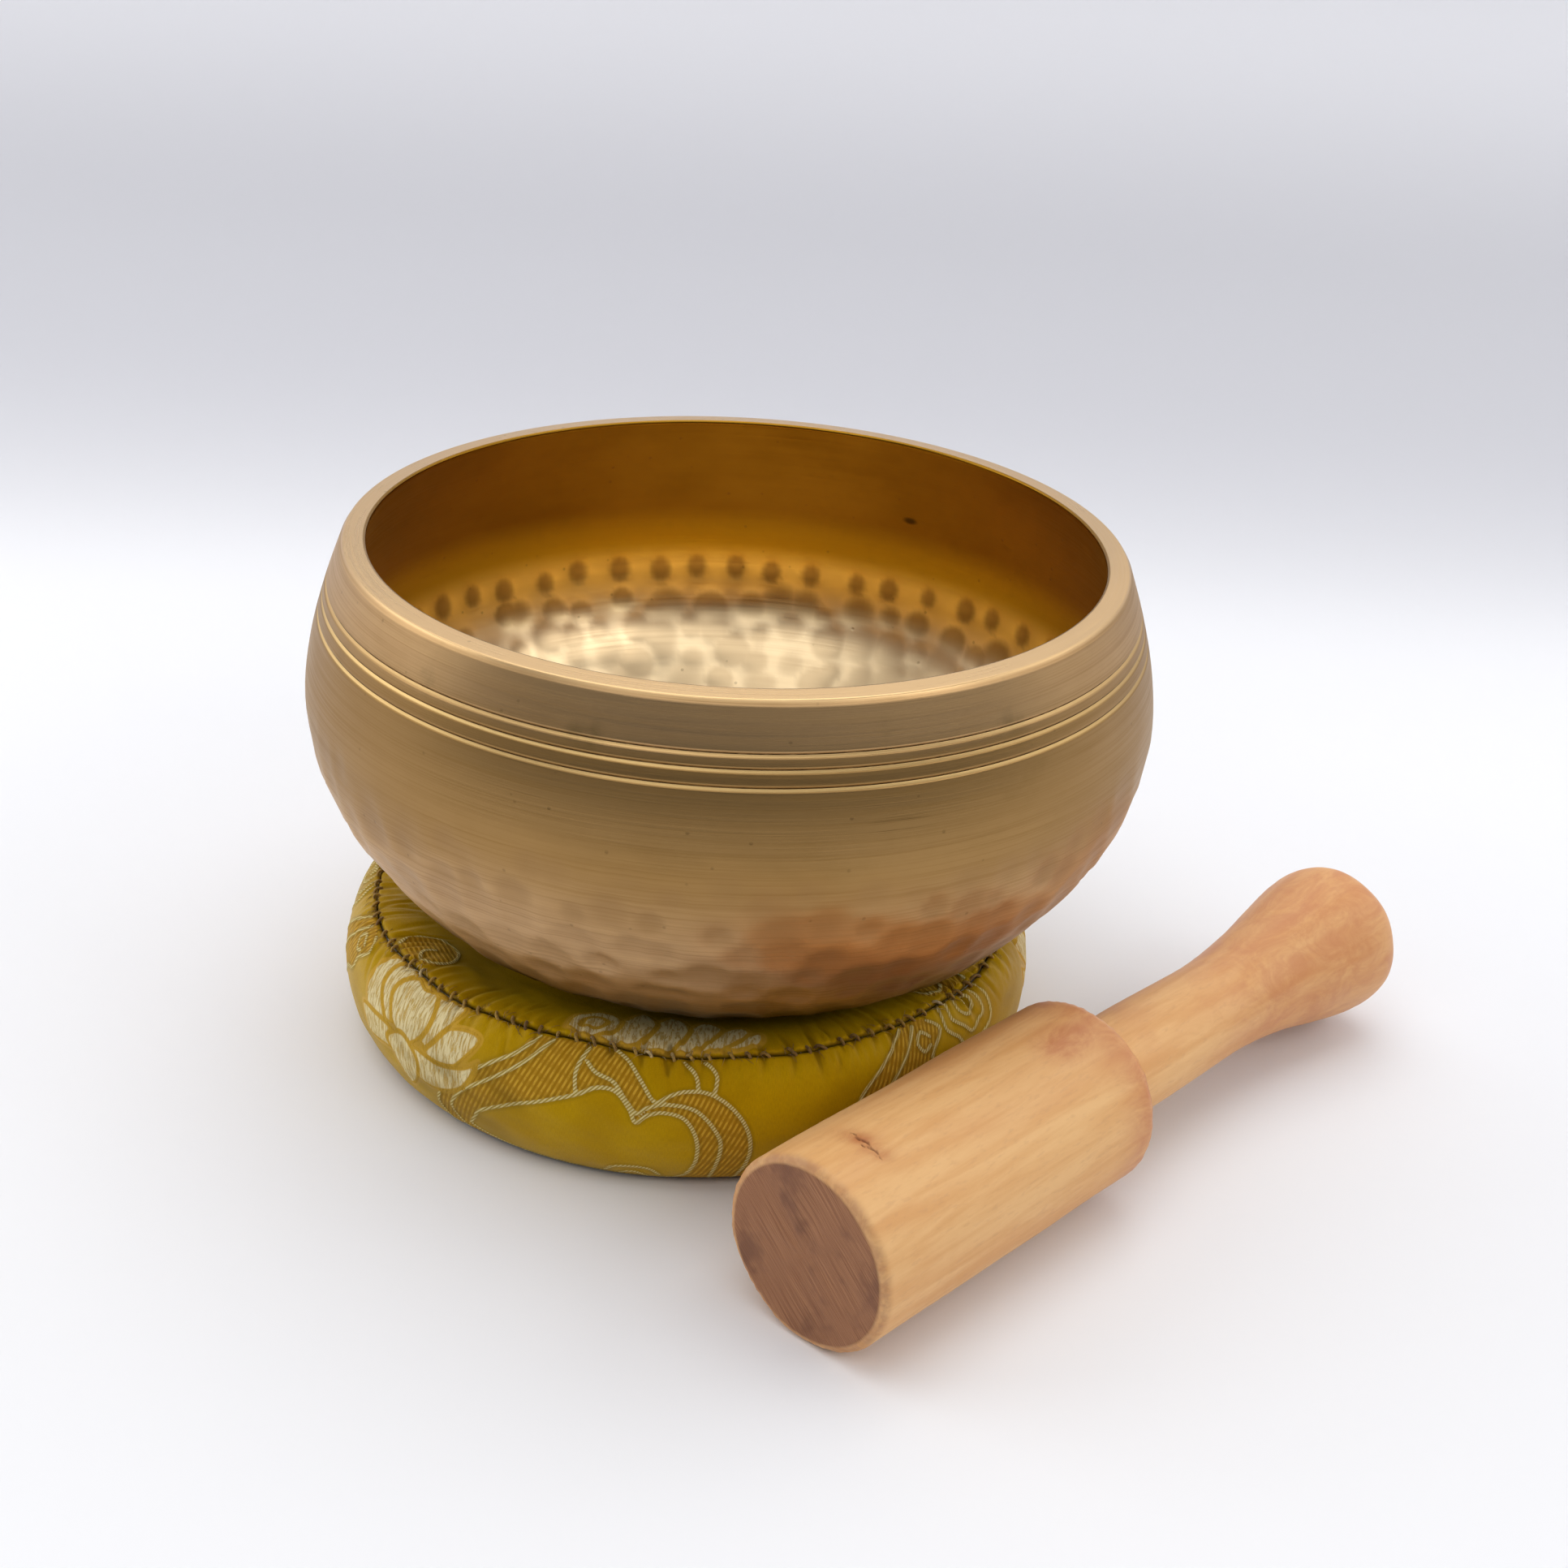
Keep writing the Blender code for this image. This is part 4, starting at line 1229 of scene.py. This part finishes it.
def make_striker():
    section = striker_section()
    heading = np.array([math.cos(STRIKER_HEADING), math.sin(STRIKER_HEADING)])
    reach_x = (section[:, 1] * heading[0] - section[:, 0] * heading[1]).min()
    reach_y = (section[:, 1] * heading[1] - section[:, 0] * heading[0]).min()
    place = Vector((STRIKER_LOW.x - reach_x, STRIKER_LOW.y - reach_y, HEAD_RADIUS))

    run = lengths(section)
    face, side = HEAD_RADIUS - FACE_EDGE, HEAD_RADIUS + 0.8 * MM
    shoulder = run[np.argmax(section[:, 1] >= HEAD_LENGTH - SHOULDER_EDGE)]
    neck = run[np.argmax((section[:, 1] >= HEAD_LENGTH) & (section[:, 0] < 8.6 * MM))]
    stations = spaced([(0.6 * MM, face, 0.9 * MM), (face, side, 0.22 * MM),
                       (side, side + 14 * MM, 0.32 * MM), (side + 14 * MM, shoulder, 1.0 * MM),
                       (shoulder, neck, 0.4 * MM), (neck, run[-1] - 6 * MM, 1.0 * MM),
                       (run[-1] - 6 * MM, run[-1] - 0.6 * MM, 0.6 * MM)])
    rows = at_lengths(section, stations)
    normals = outward(np.column_stack([rows[:, 0], -rows[:, 1]]))
    angle = round_angles(STRIKER_COLUMNS)
    along = rows[:, 1]
    rng = np.random.default_rng(SEED + 20)
    rings = soft_noise(angle[None, :] * 0, stations[:, None] * 9, rng, 10, 2, 12) * 0.012
    flats = soft_noise(angle[None, :], stations[:, None], rng, 12, 2, 7) * 0.05
    nicks = soft_noise(angle[None, :], stations[:, None] * 3, rng, 24, 9, 60) * 0.045
    edge_wear = np.exp(-((stations - face - 0.9 * MM) / (0.9 * MM)) ** 2)[:, None]
    shoulder_wear = np.exp(-((stations - shoulder - 2 * MM) / (2 * MM)) ** 2)[:, None]
    height = rings + flats + nicks * (edge_wear + shoulder_wear)
    height = height * np.clip(stations / (4 * MM), 0, 1)[:, None]
    scar, bruise = knot_mark(along / MM, angle)
    height = height - 0.28 * scar
    radius = rows[:, :1] + normals[:, :1] * height * MM
    grid = turned(radius, -along[:, None] + normals[:, 1:] * height * MM, angle)
    grid[..., 1] = np.maximum(grid[..., 1], -HEAD_RADIUS + 0.01 * MM)
    on_face = np.clip((face + 0.5 * MM - stations) / (0.5 * MM), 0, 1)
    values = {"along": along[:, None] / MM, "scar": scar, "bruise": bruise,
              "face": on_face[:, None], "wear": edge_wear}
    values.update({"turned_" + key: grid[..., k] for k, key in enumerate("xyz")})
    striker = mesh_from_grid("turned_striker", grid, values, close_start=True, close_end=True)
    laid = Euler((math.pi / 2, 0.0, STRIKER_HEADING - math.pi / 2)).to_matrix().to_4x4()
    striker.data.transform(Matrix.Translation(place) @ laid)
    striker.data.materials.append(turned_wood())
    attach(striker, "striker")
    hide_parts("striker")


def turned_wood():
    n = Nodes("turned_pale_wood")
    x, y, z, along, face = n.attributes("turned_x", "turned_y", "turned_z", "along", "face")
    point = n.combine(x, y, z)
    grain = n.grain(point, (330, 330, 34), 5.0, 0.6, 0.4)
    flecks = n.grain(point, (1500, 1500, 420), 2.0, 0.6)
    figure = n.grain(point, (70, 70, 26), 4.0, 0.6, 0.6, location=(2, 5, 1))
    mottle = n.grain(point, (190, 190, 120), 4.0, 0.7, 0.8, location=(4, 2, 8))
    patches = n.grain(point, (42, 42, 30), 3.0, 0.55, location=(9, 1, 3))

    tone = n.mix(n.span(grain, 0.32, 0.68), srgb(238, 189, 128), srgb(225, 167, 105))
    tone = n.coat(tone, n.span(figure, 0.5, 0.75), 0.32, (222, 162, 110))
    tone = n.coat(tone, n.span(flecks, 0.52, 0.75), 0.28, (206, 150, 104))

    collar = n.times(n.span(along, 49.0, 60.0), n.span(along, 62.5, 61.0))
    handled = n.span(along, 76.0, 104.0)
    stained = n.times(n.span(patches, 0.56, 0.68), n.span(along, 2.0, 60.0, 0.35, 0.9))
    burnish = n.larger(n.times(collar, 1.0), n.times(handled, 0.8))
    burnish = n.larger(burnish, n.times(stained, 0.7))
    rubbed = n.spot(point, (0.2 * HEAD_RADIUS / MM, 0.98 * HEAD_RADIUS / MM, -51.0), (6.0, 6.0, 9.0))
    burnish = n.larger(burnish, rubbed)
    burnish = n.times(burnish, n.span(mottle, 0.30, 0.68, 0.35, 0.9))
    tone = n.mix(burnish, tone, srgb(200, 126, 78))
    worn = n.times(n.attribute("wear"), n.span(mottle, 0.35, 0.6, 0.3, 1.0))
    tone = n.coat(tone, worn, 0.6, (170, 116, 84))

    across = n.times(n.plus(n.times(x, 0.9), y), 6400.0)
    beside = n.times(n.minus(x, n.times(y, 0.9)), 70.0)
    lines = n.noise(n.combine(across, beside, n.times(z, 10.0)), 1.0, 2.0, 0.55)
    smudge = n.grain(point, (120, 120, 120), 3.0, 0.6, location=(1, 8, 2))
    # The striking face: end grain with fine lines and smudges, darker than the sides. This is partly the
    # wood's own tone and partly painted shade.
    end_grain_and_shade_tone = n.mix(n.span(lines, 0.38, 0.62), srgb(170, 118, 80), srgb(140, 90, 58))
    end_grain_and_shade_tone = n.coat(end_grain_and_shade_tone, n.span(smudge, 0.5, 0.68), 0.65, (112, 70, 48))
    tone = n.mix(face, tone, end_grain_and_shade_tone)
    redness = n.times(n.attribute("bruise"), n.span(mottle, 0.3, 0.62, 0.2, 1.0))
    tone = n.coat(tone, redness, 0.95, (186, 112, 66))
    tone = n.coat(tone, n.span(n.attribute("scar"), 0.2, 0.9), 0.8, (104, 58, 32))

    relief = n.plus(n.times(grain, 0.5), n.times(flecks, 0.5))
    relief = n.plus(relief, n.times(n.times(lines, face), 1.6))
    rough = n.span(burnish, 0.0, 0.8, 0.52, 0.40)
    n.set(Base_Color=tone, Roughness=rough, Normal=n.bump(relief, 0.00009, 0.6), Specular_IOR_Level=0.35)
    return n.material


# ---------------------------------------------------------------- stage, light and camera

def make_sweep():
    """Pale table that curves up into the backdrop."""
    bend_start, bend = 0.20, 0.16
    turn = np.radians(np.linspace(0, 90, 25))
    path = [(-2.6, 0.0), (-1.0, 0.0), (-0.3, 0.0), (0.0, 0.0)]
    path += [(bend_start + bend * math.sin(t), bend * (1 - math.cos(t))) for t in turn]
    path += [(bend_start + bend, 0.22), (bend_start + bend, 0.36)]
    half = 2.4
    points = [(side * half, y, z) for y, z in path for side in (-1, 1)]
    faces = [(2 * i, 2 * i + 1, 2 * i + 3, 2 * i + 2) for i in range(len(path) - 1)]
    sweep = new_piece("sweep", points, faces)
    n = Nodes("pale_paper")
    soft = n.grain(n.object_point(), (3, 3, 3), 2.0, 0.5)
    _, depth, up = n.separate(n.object_point())
    table = n.mix(soft, (0.85, 0.85, 0.87, 1), (0.88, 0.88, 0.90, 1))
    # Painted shade: the backdrop is darker low in its curve than on the table and up the wall.
    wall = n.mix(n.span(up, 0.05, 0.12), (0.65, 0.65, 0.69, 1), (0.88, 0.88, 0.92, 1))
    tone = n.mix(n.span(depth, 0.16, 0.29), table, wall)
    n.set(Base_Color=tone, Roughness=0.75, Specular_IOR_Level=0.2)
    sweep.data.materials.append(n.material)
    return sweep


def soft_light(name, place, target, size, power):
    data = bpy.data.lights.new(name, "AREA")
    data.shape = "RECTANGLE"
    data.size, data.size_y = size
    data.energy = power
    light = bpy.data.objects.new(name, data)
    light.location = place
    light.rotation_euler = (Vector(target) - Vector(place)).to_track_quat("-Z", "Y").to_euler()
    bpy.context.scene.collection.objects.link(light)


def make_world(strength):
    world = bpy.data.worlds.new("studio")
    world.use_nodes = True
    background = world.node_tree.nodes["Background"]
    background.inputs["Color"].default_value = (0.84, 0.90, 1.0, 1.0)
    background.inputs["Strength"].default_value = strength
    bpy.context.scene.world = world


def make_camera():
    centre = Vector((BOWL_X, 0.0, RIM_Z))
    data = bpy.data.cameras.new("camera")
    data.sensor_width = 36.0
    data.lens = CAMERA_LENS
    data.clip_start = 0.02
    camera = bpy.data.objects.new("camera", data)
    camera.location = centre + RIM_RADIUS * CAMERA_PLACE
    roll = Quaternion((0, 0, 1), CAMERA_ROLL)
    camera.rotation_euler = (CAMERA_FORWARD.to_track_quat("-Z", "Y") @ roll).to_euler()
    bpy.context.scene.collection.objects.link(camera)
    bpy.context.scene.camera = camera


make_bowl()
make_cushion()
make_wadding()
make_base_panel()
make_stitches()
make_striker()

make_sweep()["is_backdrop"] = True
for light in LIGHTS:
    soft_light(*light)
make_world(0.10)
make_camera()
view = bpy.context.scene.view_settings
view.view_transform = "Standard"
view.look = "None"
view.exposure = 0.0


def plain(value):
    """Vectors and tuples as plain lists of numbers."""
    if isinstance(value, dict):
        return {key: plain(part) for key, part in value.items()}
    if isinstance(value, (int, float, str)) or value is None:
        return value
    return [plain(part) for part in value]


{"cad": plain(cad_bounds), "visual": plain(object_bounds())}
